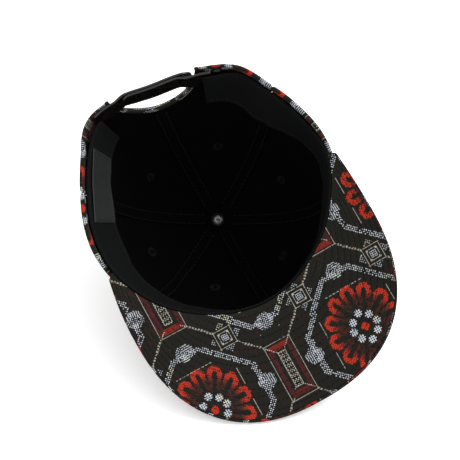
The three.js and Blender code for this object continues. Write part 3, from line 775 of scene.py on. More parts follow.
def make_lining(material):
    rows = LINING["rows"]
    places = np.linspace(
        place_at_depth(LINING["first_depth"]), PANEL_GRID["last_place"], rows
    )
    place = np.concatenate([places, places[::-1]])
    inward = np.repeat([LINING["outer"], LINING["inner"]], rows)
    turned = np.linspace(0, 360, LINING["columns"] + 1)
    points = crown_point(turned[:-1, None], place[None, :], inward[None, :])
    cloth = stacked(turned[:, None] * DEG * rim_radius(0), crown_arc(0, place)[None, :])
    mesh = loop_body(points, cloth, ring=True)
    cutters = [eyelet_cutter(middle) for middle, _, _ in PANELS.values()]
    cutters.append(arch_cutter())
    add_piece("lining_cloth", mesh, material, "lining_cloth", "lining", cutters)


def make_tapes(material):
    """Folded strips that cover the seams inside."""
    section = round_section(2, 1, steps=4, rows=7)
    upper_face = section[:, 1] > 0.5
    for place, seam in SEAMS.items():
        last = place_at_radius(seam, TAPE["end_radius"])
        places = np.linspace(place_at_depth(TAPE["first_depth"]), last, TAPE["rows"])
        half = tape_half_width(seam, places)[:, None]
        across = (section[:, 0] - 1)[None, :] * half
        puff = TAPE["puff"] * np.cos(across / half * TAPE["ridges"] * math.pi) * upper_face
        inward = TAPE["outer"] + section[:, 1] * (TAPE["inner"] - TAPE["outer"]) + puff
        points = tape_point(seam, places[:, None] + 0 * across, across, inward)
        mesh = loop_body(points, stacked(across, crown_arc(seam, places)[:, None]))
        cutters = [arch_cutter()] if place == "back" else []
        add_piece(f"tape_{place}", mesh, material, "lining_cloth", f"seam_tape_{place}", cutters)


def make_sweatband(material):
    azimuth = np.linspace(180 + BAND["end"], 540 - BAND["end"], BAND["columns"])[:, None]
    section = round_section(BAND["height"], BAND["thickness"], steps=6, rows=26)
    points = band_face(azimuth, section[None, :, 0], section[None, :, 1])
    cloth = stacked(azimuth * DEG * rim_radius(180), section[None, :, 0])
    mesh = loop_body(points, cloth)
    add_piece("sweatband_cloth", mesh, material, "sweatband_cloth", "sweatband")


def make_label(material):
    across = np.linspace(-1, 1, LABEL["columns"])[:, None]
    section = round_section(LABEL["height"], LABEL["thickness"], steps=4, rows=20)
    through = label_back(across) + section[None, :, 1]
    points = band_face(label_azimuth(across), LABEL["drop"] + section[None, :, 0], through)
    mesh = loop_body(points, stacked(across * LABEL["length"] / 2, section[None, :, 0]))
    add_piece("label_satin", mesh, material, "label_satin", "label")


def make_binding(material):
    angle = np.linspace(0, math.pi, BINDING["columns"])[:, None]
    section = round_section(ARCH["binding"], 1, steps=8, rows=5)[::-1]
    away = np.clip(section[:, 0], 0, ARCH["binding"])
    deep = smooth(*BINDING["lower"], (ARCH["height"] + away[None, :]) * np.sin(angle))
    inner = BINDING["inner"] + (BINDING["lower_inner"] - BINDING["inner"]) * deep
    inward = section[None, :, 1] * (inner + BINDING["proud"]) - BINDING["proud"]
    points = arch_point(angle, away[None, :], inward)
    along = run_along(points[:, 0])[:, None]
    around = run_along(stacked(away, inward[0]))[None, :]
    shift_u, shift_v = BINDING["cloth"]
    mesh = loop_body(points, stacked(along + shift_u, around + shift_v))
    add_piece("binding_cloth", mesh, material, "patterned_cloth", "arch_binding")


# Visor

def row_groove(from_edge):
    """How deep the stitch rows draw the visor's cloth in, at a distance from the edge."""
    first, spacing = VISOR_ROWS["first"], VISOR_ROWS["spacing"]
    off = np.mod(from_edge - first + spacing / 2, spacing) - spacing / 2
    groove = VISOR_ROWS["depth"] * np.exp(-(off / VISOR_ROWS["width"]) ** 2)
    return np.where(from_edge > first - spacing / 2, groove, 0)


def visor_face(rows, inset, depth, cloth):
    """Rows of a visor layer's face, from the crown to the edge.

    Columns: distance in from the edge, depth below the visor's face, place along the cloth
    counted from the edge inwards, and share of the way from the edge to the crown.
    """
    return stacked(inset, depth, cloth, np.linspace(1, 0, rows))


def under_section():
    """Section of the lower layer, from the crown to its rounded edge and back."""
    radius = VISOR["under"] / 2
    rows = VISOR_GRID["under_rows"]
    turn = np.linspace(0, math.pi, VISOR_GRID["steps"] + 2)[1:-1]
    edge = stacked(
        radius - radius * np.sin(turn), radius - radius * np.cos(turn), radius - radius * turn, 0
    )
    there = visor_face(rows, radius, 0, radius)
    back = visor_face(rows, radius, VISOR["under"], radius - radius * math.pi)[::-1]
    return np.concatenate([there, edge, back])


def upper_section():
    """Section of the upper layer, whose cloth is rolled round the edge of both."""
    radius = VISOR_THICKNESS / 2
    rows = VISOR_GRID["upper_rows"]
    flat = BEAD["flat"]
    lip = np.array([(*point, 0) for point in BEAD["lip"]])
    rolled = lip[-1, 2]
    turn = np.linspace(BEAD["turn"], math.pi - BEAD["turn"], BEAD["steps"])
    edge = stacked(
        flat - flat * np.sin(turn), radius - radius * np.cos(turn), rolled - radius * turn, 0
    )
    there = visor_face(rows, BEAD["start"], VISOR["under"] + GAP, BEAD["start"])
    back = visor_face(rows, flat, VISOR_THICKNESS, rolled - radius * math.pi - flat)[::-1]
    foot = np.tile(back[0], (len(lip), 1))
    return np.concatenate([there, lip, edge, foot, back])


def visor_mesh(inset, section, centre):
    """A visor layer from its section, with stitch rows drawn into its outer face."""
    even = np.linspace(-1, 1, VISOR_GRID["columns"])
    crowding = VISOR_GRID["crowding"]
    shares = (np.sin(even * 90 * DEG) * crowding + even * (1 - crowding))[:, None]
    x0, y0, x1, y1 = visor_ends(shares)
    reach = np.hypot(x1 - x0, y1 - y0)
    from_edge, depth, along, inner = section.T
    out = np.maximum(1 - inner - (inset + from_edge) / reach, 0)
    facing = (depth == 0) * 1.0 - (depth == VISOR_THICKNESS)
    points = visor_point(shares, out, depth + row_groove((1 - out) * reach) * facing)
    cloth_out = 1 - inner - (inset + along) / reach
    centre_u, centre_v = centre
    u = (x0 + (x1 - x0) * cloth_out - centre_u) / VISOR_CLOTH["scale"]
    v = (y0 + (y1 - y0) * cloth_out - centre_v) / VISOR_CLOTH["scale"]
    return loop_body(points, stacked(u, v))


def make_visor(material):
    for layer, inset, section in (
        ("under", UNDER_INSET, under_section()), ("upper", 0, upper_section())
    ):
        mesh = visor_mesh(inset, section, VISOR_CLOTH[layer])
        add_piece(f"visor_{layer}_cloth", mesh, material, "patterned_cloth", f"visor_{layer}")


# Strap, button and rivet

def strap_mesh(tab):
    """A plastic tab with a round tip and slightly rounded edges."""
    half = STRAP["height"] / 2
    corner = STRAP["corner"]
    to_tip = math.copysign(1, tab["tip"] - tab["root"])
    reach = half / float(rim_radius(180)) / DEG
    shoulder = tab["tip"] - to_tip * reach
    tip_turn = np.linspace(0, STRAP["tip_turn"], STRAP["tip_columns"] + 1)[1:]
    bend = np.concatenate([np.zeros(STRAP["columns"]), tip_turn])[:, None] * DEG
    straight = np.concatenate([
        np.linspace(tab["root"], shoulder, STRAP["columns"]),
        np.full(STRAP["tip_columns"], shoulder),
    ])[:, None]
    azimuth = straight + to_tip * reach * np.sin(bend)
    turn = np.linspace(0, 90, STRAP["corner_steps"]) * DEG
    low = half - corner + corner * np.sin(turn)
    side = corner - corner * np.cos(turn)
    face = np.linspace(-1, 1, STRAP["face_rows"] + 2)[1:-1] * (half - corner)
    across = np.concatenate([-low[::-1], face, low])
    through = np.concatenate([side[::-1], np.zeros(len(face)), side])
    across = np.concatenate([across, across[::-1]])
    through = np.concatenate([through, tab["far"] - tab["near"] - through[::-1]])
    height = -STRAP["drop"] - half + across[None, :] * np.cos(bend)
    points = strap_point(tab, azimuth, height, tab["near"] + through[None, :])
    return loop_body(points, stacked(azimuth * DEG * rim_radius(180), across[None, :]))


def peg_axis(i):
    """Middle, side, up and outward directions of a peg, from inside the inner tab."""
    offset = (i - (STRAP["pegs"] - 1) / 2) * STRAP["spacing"]
    azimuth = STRAP["middle"] + offset / float(rim_radius(180)) / DEG
    height = -STRAP["drop"] - STRAP["height"] / 2
    tab = STRAP_TABS["strap_inner"]
    inside = strap_point(tab, azimuth, height, tab["near"] + PEG["sunk"])
    outward = unit(strap_point(tab, azimuth, height, PEG["tip"]) - inside)
    side = unit(np.cross(outward, [0, 0, 1.0]))
    return inside, side, np.cross(side, outward), outward


def make_strap(material):
    """The inner tab carries the pegs, and the outer one has holes for them."""
    for name, tab in STRAP_TABS.items():
        has_pegs = name == "strap_inner"
        profile = PEG_PROFILE if has_pegs else PEG_HOLE_PROFILE
        piece = new_object(f"{name}_tab", strap_mesh(tab), material)
        pegs = [
            new_object("peg", turned_mesh(profile, peg_axis(i), PEG["sides"]), material)
            for i in range(STRAP["pegs"])
        ]
        if has_pegs:
            piece = joined([piece, *pegs])
        else:
            cut_away(piece, pegs)
        settle(piece, "strap_plastic", name)


def crown_axis(height, direction):
    middle = np.array([BUTTON_SHIFT["x"], BUTTON_SHIFT["y"], height])
    return middle, np.array([1.0, 0, 0]), np.array([0, direction, 0]), np.array([0, 0, direction])


def make_button(material):
    radius, rise = BUTTON["radius"], BUTTON["rise"]
    profile = [
        (radius * math.sin(turn), rise * math.cos(turn) ** BUTTON["bulge"])
        for turn in np.linspace(0, BUTTON["dome_end"], BUTTON["dome_rows"])
    ]
    profile += [(radius - inset, height) for inset, height in BUTTON_FOOT]
    profile.append((0, 0))
    mesh = turned_mesh(profile, crown_axis(-CROWN_DEPTH - GAP, -1.0), BUTTON["sides"])
    add_piece("button_cloth", mesh, material, "patterned_cloth", "button")


def make_rivet(material):
    """Pressed metal head: a rim bead, a groove, a low dome and a dimple."""
    seat = LINING["inner"] + GAP
    profile = [(0, 0), (RIVET["stem"], 0), (RIVET["stem"], seat)]
    profile += [(radius, seat + rise) for radius, rise in RIVET_RELIEF]
    mesh = turned_mesh(profile, crown_axis(-CROWN_DEPTH, 1.0), RIVET["sides"])
    add_piece("rivet_metal", mesh, material, "rivet_metal", "rivet")


# Eyelets

def bulged(value, power):
    return np.sign(value) * np.abs(value) ** power


def make_eyelets(material):
    """Rings of close stitches through all layers, each thread a ridge."""
    turned = np.linspace(0, 2 * math.pi, EYELET["threads"] * EYELET["per_thread"] + 1)
    angles = turned[:-1, None]
    turn = np.linspace(0, 2 * math.pi, EYELET["steps"], endpoint=False)[None, :]
    cloth = stacked(turned[:, None] * EYELET["cloth"], turn)
    thread = angles * EYELET["threads"] / 2
    ridge = EYELET_THREAD["ridge"] * np.abs(np.sin(thread)) ** EYELET_THREAD["sharpness"]
    scatter = np.sin(np.floor(thread / math.pi) * EYELET_THREAD["scatter"])
    grow = ridge + EYELET_THREAD["jitter"] * (0.5 + 0.5 * scatter) - EYELET_THREAD["sunk"]
    width = (EYELET["radius"] - EYELET["opening"]) / 2
    low = -LINING["inner"] - EYELET["inside"]
    high = EYELET["proud"]
    out = EYELET["opening"] + width + (width + grow) * bulged(np.cos(turn), EYELET["squareness"])
    half_height = (high - low) / 2 + grow
    up = (low + high) / 2 + half_height * bulged(np.sin(turn), EYELET["squareness"])
    for place, (middle, _, _) in PANELS.items():
        origin, side, along, outward = eyelet_axis(middle)
        spread = np.cos(angles) * side + np.sin(angles) * along
        points = origin + out[..., None] * spread[:, None, :] + up[..., None] * outward
        mesh = loop_body(press(points, 0.0), cloth, ring=True)
        name = f"eyelet_stitched_{place}"
        add_piece(name, mesh, material, "eyelet_thread", f"eyelet_{place}")


# Node trees

def fill(tree, node, values):
    """Sets a node's inputs by name or number: a socket is linked, a plain value is set."""
    for name, value in values.items():
        if isinstance(value, bpy.types.NodeSocket):
            tree.links.new(value, node.inputs[name])
        else:
            node.inputs[name].default_value = value


def add_node(tree, kind, values=(), **settings):
    node = tree.nodes.new(kind)
    for name, value in settings.items():
        setattr(node, name, value)
    fill(tree, node, dict(values))
    return node


def new_group(name, kind, inputs, outputs):
    """A node group with named sockets, its input and output nodes, and its inputs' keys."""
    tree = bpy.data.node_groups.new(name, kind)
    keys = {}
    for socket, socket_type in inputs.items():
        made = tree.interface.new_socket(socket, in_out="INPUT", socket_type=socket_type)
        keys[socket] = made.identifier
    for socket, socket_type in outputs.items():
        tree.interface.new_socket(socket, in_out="OUTPUT", socket_type=socket_type)
    return tree, add_node(tree, "NodeGroupInput"), add_node(tree, "NodeGroupOutput"), keys


# Stitches

def stitch_row(face, above, shown=None):
    """Middles, directions and outward directions of the stitches along a line on a face."""
    run = run_along(face)
    middle = (np.arange(int(run[-1] / STITCH["pitch"])) + 0.5) * STITCH["pitch"]

    def at(place, values):
        return np.stack([np.interp(place, run, values[:, i]) for i in range(3)], axis=1)

    reach = STITCH["length"] / 2
    along = at(middle + reach, face) - at(middle - reach, face)
    rows = np.stack([at(middle, face), along, at(middle, above) - at(middle, face)], axis=1)
    if shown is None:
        return rows
    return rows[np.interp(middle, run, shown * 1.0) > STITCH_SHOWN]


def stitch_tree(thread):
    """A small rounded stitch on each point, laid along its row and facing out of the cloth."""
    tree, given, result, keys = new_group(
        "stitches", "GeometryNodeTree",
        {
            "Places": "NodeSocketGeometry", "Length": "NodeSocketFloat",
            "Width": "NodeSocketFloat", "Height": "NodeSocketFloat",
        },
        {"Stitches": "NodeSocketGeometry"},
    )
    bead = add_node(tree, "GeometryNodeMeshUVSphere", STITCH_MESH)
    place = add_node(tree, "ShaderNodeVectorMath", {
        0: bead.outputs["UV Map"], 1: STITCH_CLOTH,
    }, operation="MULTIPLY")
    stored = add_node(tree, "GeometryNodeStoreNamedAttribute", {
        "Geometry": bead.outputs["Mesh"], "Name": "cloth", "Value": place.outputs["Vector"],
    }, data_type="FLOAT2", domain="CORNER")
    size = add_node(tree, "ShaderNodeCombineXYZ", {
        "X": given.outputs["Length"], "Y": given.outputs["Width"], "Z": given.outputs["Height"],
    })
    grown = add_node(tree, "GeometryNodeTransform", {
        "Geometry": stored.outputs["Geometry"], "Scale": size.outputs["Vector"],
    })
    along, out = (
        add_node(tree, "GeometryNodeInputNamedAttribute", {"Name": name}, data_type="FLOAT_VECTOR")
        for name in ("along", "out")
    )
    turn = add_node(tree, "FunctionNodeAxesToRotation", {
        "Primary Axis": along.outputs["Attribute"], "Secondary Axis": out.outputs["Attribute"],
    }, primary_axis="X", secondary_axis="Z")
    spread = add_node(tree, "GeometryNodeInstanceOnPoints", {
        "Points": given.outputs["Places"], "Instance": grown.outputs["Geometry"],
        "Rotation": turn.outputs["Rotation"],
    })
    plain = add_node(tree, "GeometryNodeRealizeInstances", {
        "Geometry": spread.outputs["Instances"],
    })
    smoothed = add_node(tree, "GeometryNodeSetShadeSmooth", {
        "Geometry": plain.outputs["Geometry"],
    })
    dressed = add_node(tree, "GeometryNodeSetMaterial", {
        "Geometry": smoothed.outputs["Geometry"], "Material": thread,
    })
    fill(tree, result, {"Stitches": dressed.outputs["Geometry"]})
    return tree, keys


def sew(name, slot, thread, rows):
    """One piece from rows of stitches, made by Geometry Nodes on points."""
    places, along, out = np.concatenate(rows).transpose(1, 0, 2)
    mesh = bpy.data.meshes.new(name)
    mesh.from_pydata(world(places).tolist(), [], [])
    for label, vectors in (("along", along), ("out", out)):
        stored = mesh.attributes.new(label, "FLOAT_VECTOR", "POINT")
        turned = unit(vectors @ TO_TABLE.T)
        stored.data.foreach_set("vector", np.ascontiguousarray(turned, np.float32).ravel())
    piece = new_object(name, mesh, thread)
    grow = piece.modifiers.new("stitches", "NODES")
    grow.node_group, keys = stitch_tree(thread)
    for size in ("Length", "Width", "Height"):
        grow[keys[size]] = STITCH[size.lower()] * MM
    applied(piece)
    settle(piece, slot)


def above_arch(face):
    return face[:, 2] < -(ARCH["height"] + ARCH["binding"] + ARCH["clear"])


def tape_rows():
    rows = []
    top = TAPE["inner"] + TAPE_STITCH["puff"]
    for name, seam in SEAMS.items():
        last = place_at_radius(seam, TAPE_STITCH["last_radius"])
        places = np.linspace(
            place_at_depth(TAPE_STITCH["first_depth"]), last, STITCH_LINE["seams"]
        )
        for side in (-1, 1):
            across = side * TAPE_STITCH["share"] * tape_half_width(seam, places)
            face, above = (tape_point(seam, places, across, top + rise) for rise in (0, 1))
            rows.append(stitch_row(face, above, above_arch(face) if name == "back" else None))
    return rows


def seam_rows():
    """Double rows beside the outer seams, clear of the table, and one round the binding."""
    rows = []
    sunk = TOPSTITCH["sunk"]
    for name, seam in SEAMS.items():
        last = place_at_radius(seam, TOPSTITCH["last_radius"])
        places = np.linspace(
            place_at_depth(TOPSTITCH["first_depth"]), last, STITCH_LINE["seams"]
        )
        for side in (-1, 1):
            across = side * TOPSTITCH["from_seam"]
            face, above = (tape_point(seam, places, across, sunk - rise) for rise in (0, 1))
            shown = face @ TABLE_NORMAL > TABLE + STITCH["height"]
            if name == "back":
                shown = shown & above_arch(face)
            rows.append(stitch_row(face, above, shown))
    end, away = BINDING_STITCH["from_end"], BINDING_STITCH["away"]
    angle = np.linspace(end, math.pi - end, STITCH_LINE["binding"])
    face, above = (arch_point(angle, away, -BINDING["proud"] - rise) for rise in (0, 1))
    rows.append(stitch_row(face, above))
    return rows


def band_rows():
    rows = []
    end = BAND["end"] + BAND_STITCH["from_end"]
    azimuth = np.linspace(180 + end, 540 - end, STITCH_LINE["band"])
    for drop in BAND_STITCH["drops"]:
        face, above = (band_face(azimuth, drop, BAND["thickness"] + rise) for rise in (0, 1))
        rows.append(stitch_row(face, above))
    return rows


def label_rows():
    rows = []
    margin, share = LABEL_STITCH["margin"], LABEL_STITCH["across"]
    drop = LABEL["drop"] + np.linspace(margin, LABEL["height"] - margin, STITCH_LINE["label"])
    top = label_back(share) + LABEL["thickness"]
    for side in (-1, 1):
        azimuth = np.full_like(drop, label_azimuth(side * share))
        face, above = (band_face(azimuth, drop, top + rise) for rise in (0, 1))
        rows.append(stitch_row(face, above))
    return rows


def visor_rows_at(down, outward):
    """Stitches along the visor's rows, on the face at a depth, which looks up or down."""
    rows = []
    shares = np.linspace(-1, 1, STITCH_LINE["visor"])
    x0, y0, x1, y1 = visor_ends(shares)
    reach = np.hypot(x1 - x0, y1 - y0)
    for row in np.arange(VISOR_ROWS["first"], reach.max(), VISOR_ROWS["spacing"]):
        kept = reach > row + VISOR_ROWS["margin"]
        if kept.any():
            share, out = shares[kept], 1 - row / reach[kept]
            face, above = (visor_point(share, out, down + rise * outward) for rise in (0, 1))
            rows.append(stitch_row(face, above))
    return rows


def make_stitches(dark, black):
    sew("stitches_tapes", "lining_cloth", black, tape_rows())
    sew("stitches_band", "sweatband_cloth", black, band_rows())
    sew("stitches_label", "label_satin", black, label_rows())
    sew("stitches_seams", "patterned_cloth", dark, seam_rows())
    sunk = VISOR_ROWS["depth"]
    sew("stitches_visor_under", "patterned_cloth", dark, visor_rows_at(sunk, -1))
    sew("stitches_visor_upper", "patterned_cloth", dark, visor_rows_at(VISOR_THICKNESS - sunk, 1))


# Shader arithmetic

class Field:
    """A number in a node tree; arithmetic on it adds Math nodes."""

    def __init__(self, tree, socket):
        self.tree = tree
        self.socket = socket

    def op(self, operation, *others):
        values = [value.socket if isinstance(value, Field) else value for value in (self, *others)]
        node = add_node(self.tree, "ShaderNodeMath", enumerate(values), operation=operation)
        return Field(self.tree, node.outputs[0])

    def __add__(self, other):
        return self.op("ADD", other)

    def __sub__(self, other):
        return self.op("SUBTRACT", other)

    def __rsub__(self, other):
        return self.op("MULTIPLY_ADD", -1.0, other)

    def __mul__(self, other):
        return self.op("MULTIPLY", other)

    def __truediv__(self, other):
        return self.op("DIVIDE", other)

    def __abs__(self):
        return self.op("ABSOLUTE")

    def __lt__(self, other):
        return self.op("LESS_THAN", other)

    def __gt__(self, other):
        return self.op("GREATER_THAN", other)

    def __mod__(self, other):
        return self.op("FLOORED_MODULO", other)

    def floor(self):
        return self.op("FLOOR")

    def sine(self):
        return self.op("SINE")

    def nearest(self, step):
        return (self / step).op("ROUND") * step

    def least(self, other):
        return self.op("MINIMUM", other)

    def most(self, other):
        return self.op("MAXIMUM", other)

    def between(self, low, high):
        """1 where the value lies between two others, and 0 elsewhere."""
        return (self > low) * (self < high)

    def pick(self, other, share):
        """This value where the share is 0, the other where it is 1."""
        return (other - self) * share + self

    def rescale(self, low, high, to_low, to_high):
        node = add_node(self.tree, "ShaderNodeMapRange", {
            "Value": self.socket, "From Min": low, "From Max": high, "To Min": to_low,
            "To Max": to_high,
        })
        return Field(self.tree, node.outputs["Result"])


def split(tree, vector):
    node = add_node(tree, "ShaderNodeSeparateXYZ", {0: vector})
    return Field(tree, node.outputs[0]), Field(tree, node.outputs[1])


def join(x, y):
    return add_node(x.tree, "ShaderNodeCombineXYZ", {0: x.socket, 1: y.socket}).outputs[0]


def white_noise(x, y):
    """A random number for each pair of whole numbers."""
    node = add_node(
        x.tree, "ShaderNodeTexWhiteNoise", {"Vector": join(x, y)}, noise_dimensions="2D"
    )
    return Field(x.tree, node.outputs["Value"])


def soft_noise(tree, vector, size, detail=2.0):
    """Noise with features of a size in the vector's own units."""
    values = {"Vector": vector, "Scale": 1 / size, "Detail": detail}
    return Field(tree, add_node(tree, "ShaderNodeTexNoise", values).outputs["Fac"])


def blend_colour(under, over, share):
    """One colour over another. Colours may be sockets or plain red, green and blue."""
    colours = {}
    for socket, colour in ((6, under), (7, over)):
        colours[socket] = (*colour, 1) if isinstance(colour, tuple) else colour
    values = {0: share.socket, **colours}
    return add_node(share.tree, "ShaderNodeMix", values, data_type="RGBA").outputs[2]


def shade_colour(colour, factor):
    """A colour made lighter or darker by a factor."""
    values = {0: colour, "Scale": factor.socket}
    return add_node(factor.tree, "ShaderNodeVectorMath", values, operation="SCALE").outputs[0]


# Kasuri pattern: a staggered lattice of medallions, oblongs and small squares

REPEAT = (118.8, 82.0)
FOLD_SLOPE = 0.4714
CELL = 0.97
SLIP = 0.34
HATCH = 1.5
RIB = 0.62
# Spots of dyed yarn: a dot's least size and how much it varies, a hole's size
SPOT = {"dot": 0.12, "vary": 0.08, "hole": 0.19}
OCTAGON = {"corner_a": (10.2, 43.0), "corner_b": (38.2, 13.65), "half_width": 2.1}
BLOBS = {"centres": ((0, 44.5), (40.4, 0)), "half": (6.3, 5.9), "slant": 8.6, "dash": 0.4}
FLOWER = {
    "across": 26, "along": 30, "ring": 22.3, "bend": 3.35, "stroke": 1.55, "inner": 14.0,
    "depth": (-6.0, 0.5), "heart": 2.5,
}
PETAL_ANGLE = 30 * DEG
PETAL_MARKS = {"off_ray": 1.6, "radius": (10.5, 16.5)}
STARS = ((0, 10.3), (9.0, 0), (6.3, 6.2))
STAR = {"half": 2.3, "bar": 1.45, "line": 0.27, "cross": 3.0}
OBLONG = {
    "half": (10.2, 21.6), "frame": (7.1, 7.9), "column": (3.1, 13.7), "outline": 0.46,
    "sides": (0.2, 0.62), "ends": (0.22, 0.76), "mitre": 0.1, "border": 0.5,
}
SQUARE = {"outer": 6.3, "inner": 3.9, "line": 0.25, "tips": 7.2}
SQUARE_CORNER = {"at": 3.2, "half": 0.5, "from": 2.7}
SQUARE_SIGN = {"half": 2.3, "bars": (0.7, 2.1), "line": 0.2}
SQUARE_POINT = {"from": 7.5, "slope": 0.95, "width": 3.7}
FRAME_ACROSS = {"at": 30.4, "half": 0.3, "end": 14.5}
FRAME_ALONG = {"at": 26.5, "half": 0.24, "span": (5.8, 18.6)}
LINK = {"at": 70.7, "slip": 1.3, "half": 0.85, "span": (36.2, 49.2), "dash": 3.0, "dash_share": 0.62}
LINK_SLIP_PATCH = 1.4
STREAKS = {"across": 2.2, "along": 0.12, "detail": 3.0}
# Sizes of the dye's soft changes, in millimetres
CHANGES = {"cloud": 9, "hint": 16, "bright": 45, "worn": 22, "dotted": 7, "yellow": 8}
SHOWN_FROM = {"hint": 0.56, "dotted": 0.54}
BRIGHTENING = (0.4, 0.6, 0, 1)
# How strongly each kind of mark covers what lies under it
COVER = {
    "hint": 0.55, "petal_marks": 0.5, "outline": 0.7, "lines": 0.75, "link": 0.7, "blobs": 0.85,
    "signs": 0.7, "points": 0.7, "yellow": 0.6,
}
# Share of the cells or patches in which each kind of mark is missing
MISSING = {"hint": 0.8, "petal_marks": 0.3, "dots": 0.1, "blobs": 0.06, "yellow": 0.9}
# Shares that vary from cell to cell or from place to place: the least, and how much they vary
MARK_DYE = {"least": 0.62, "vary": 0.5}
END_DYE = {"least": 0.65, "vary": 0.4}
END_RED = {"least": 0.1, "vary": 0.3}
PETAL_DYE = {"least": 0.75, "vary": 0.4}
PETAL_REACH = {"least": 0.12, "vary": 1.1}
BAR_DYE = {"least": 0.6, "vary": 0.5}
WORN = {"least": 0.8, "vary": 0.4}
# Bare rows across the oblongs' ends, and bare cells in petals and heart
END_ROWS = {"share": 0.35, "bare": 0.55}
BARE = {"petal": 0.85, "heart": 0.6}
# How much ribs, clouds and streaks lighten the ground, and how each one is spread
GROUND = {"ribs": 0.35, "cloud": 0.35, "streaks": (0.35, 0.65, 0, 0.5)}
BAR_STREAKS = (0.35, 0.6, 0.35, 1)
FRAME_STRENGTH = (0, 0.5, 0.3, 0.7)
FRAME_DASH = {"cells": 3, "dash": 1.5}
BARE_ROW = 4
YARN_HEIGHT = {"dyed": 0.6, "ribs": 0.4}
INKS = {
    "ground": (0.0078, 0.0073, 0.0052),
    "rib": (0.0040, 0.0038, 0.0027),
    "white": (0.41, 0.44, 0.48),
    "cream": (0.33, 0.31, 0.26),
    "yellow": (0.44, 0.42, 0.23),
    "red": (0.34, 0.019, 0.006),
    "deep_red": (0.092, 0.0115, 0.0065),
    "dark_red": (0.050, 0.006, 0.007),
    "faint_red": (0.024, 0.007, 0.005),
}


class Yarns:
    """The weave at a place on the cloth: its cell, its dots, and where it is in the lattice.

    The motifs are drawn cell by cell, as tied and dyed yarn gives them: a dot stands in
    every second cell, and the yarns have slipped a little along each other. The places
    named fine are those before the slip.
    """

    def __init__(self, tree, cloth):
        self.tree = tree
        self.cloth = cloth
        self.fine_u, self.fine_v = split(tree, cloth)
        row = (self.fine_v / CELL).floor()
        column = (self.fine_u / CELL).floor()
        u = self.fine_u + (white_noise(row, row * 0) - 0.5) * SLIP
        v = self.fine_v + (white_noise(column * 0, column) - 0.5) * SLIP
        self.cell_u = (u / CELL).floor()
        self.cell_v = (v / CELL).floor()
        from_u = u / CELL - self.cell_u - 0.5
        from_v = v / CELL - self.cell_v - 0.5
        spot = from_u * from_u + from_v * from_v
        self.checker = (self.cell_u + self.cell_v) % 2
        self.chance = white_noise(self.cell_u, self.cell_v)
        self.dot = self.checker * (spot < self.chance * SPOT["vary"] + SPOT["dot"])
        self.hole = (1 - self.checker) * (spot < SPOT["hole"])
        self.hatch_u = (u / HATCH) % 1
        self.hatch_v = (v / HATCH) % 1
        self.a, self.b = folded((self.cell_u + 0.5) * CELL, (self.cell_v + 0.5) * CELL)
        self.fine_a, self.fine_b = folded(self.fine_u, self.fine_v)
        streak_place = join(self.fine_u * STREAKS["across"], self.fine_v * STREAKS["along"])
        self.streaks = soft_noise(tree, streak_place, 1, STREAKS["detail"])
        self.ribs = abs((self.fine_u * (math.pi / RIB)).sine())

    def noise(self, size, detail=2.0):
        return soft_noise(self.tree, self.cloth, size, detail)

    def uneven(self, least, vary):
        """A share that varies from cell to cell."""
        return self.chance * vary + least

    def patch(self, wide, high):
        """A random number for each patch of so many cells."""
        return white_noise((self.cell_u / wide).floor(), (self.cell_v / high).floor())


def folded(u, v):
    """Place in the lattice's smallest piece: a medallion's centre is at (0, 0)."""
    width, height = REPEAT
    a = abs(u - u.nearest(width))
    b = abs(v - v.nearest(2 * height))
    beyond = ((b - height / 2) + (a - width / 4) * FOLD_SLOPE) > 0
    return a.pick(width / 2 - a, beyond), b.pick(height - b, beyond)


def hash_sign(x, y, half, bar, width):
    """Two bars each way, crossing."""
    bars = (abs(x - bar) < width).most(abs(y - bar) < width)
    return (x.most(y) < half) * bars


def octagon_mask(a, b):
    (x0, y0), (x1, y1) = OCTAGON["corner_a"], OCTAGON["corner_b"]
    length = math.hypot(x1 - x0, y1 - y0)
    across = (a - x0) * ((y0 - y1) / length) + (b - y0) * ((x1 - x0) / length)
    return abs(across.most(b - y0).most(a - x1)) < OCTAGON["half_width"]


def blob_mask(a, b):
    wide, high = BLOBS["half"]
    masks = []
    for x, y in BLOBS["centres"]:
        p = abs(a - x)
        q = abs(b - y)
        masks.append((p / wide).most(q / high).most((p + q) / BLOBS["slant"]) < 1)
    return masks[0].most(masks[1])


def flower_masks(a, b):
    """The petals' horseshoes, how far in they reach, the marks inside them, the radius."""
    y = b * (FLOWER["across"] / FLOWER["along"])
    radius = (a * a + y * y).op("SQRT")
    angle = a.op("ARCTAN2", y)
    turn = angle - angle.nearest(PETAL_ANGLE)
    px = abs(radius * turn.sine())
    py = radius * turn.op("COSINE") - FLOWER["ring"]
    bend = (px * px + py * py).op("SQRT")
    radial = px * FLOWER["ring"] / radius
    away = abs(bend.pick(radial, py < 0) - FLOWER["bend"])
    petals = (away < FLOWER["stroke"]) * (radius > FLOWER["inner"])
    marks = (px > PETAL_MARKS["off_ray"]) * radius.between(*PETAL_MARKS["radius"])
    return petals, py.rescale(*FLOWER["depth"], 0.0, 1.0), marks, radius


def oblong_masks(a, b):
    """Outline, sides, ends and mitres of the oblong, and its middle column."""
    half_x, half_y = OBLONG["half"]
    frame_x, frame_y = OBLONG["frame"]
    column_x, column_y = OBLONG["column"]
    p = REPEAT[0] / 2 - a
    from_side = half_x - p
    from_end = half_y - b
    inside = (from_side > 0) * (from_end > 0)
    side = from_side / frame_x
    end = from_end / frame_y
    deep = side.least(end)
    sides = inside * (side < end) * deep.between(*OBLONG["sides"])
    ends = inside * (end < side) * deep.between(*OBLONG["ends"])
    mitres = inside * (abs(side - end) < OBLONG["mitre"]) * (deep < 1)
    in_x = column_x - p
    in_y = column_y - b
    in_column = (in_x > 0) * (in_y > 0)
    border = in_column * (in_x.least(in_y) < OBLONG["border"])
    outline = inside * (from_side.least(from_end) < OBLONG["outline"])
    return outline.most(border), sides, ends, mitres, in_column


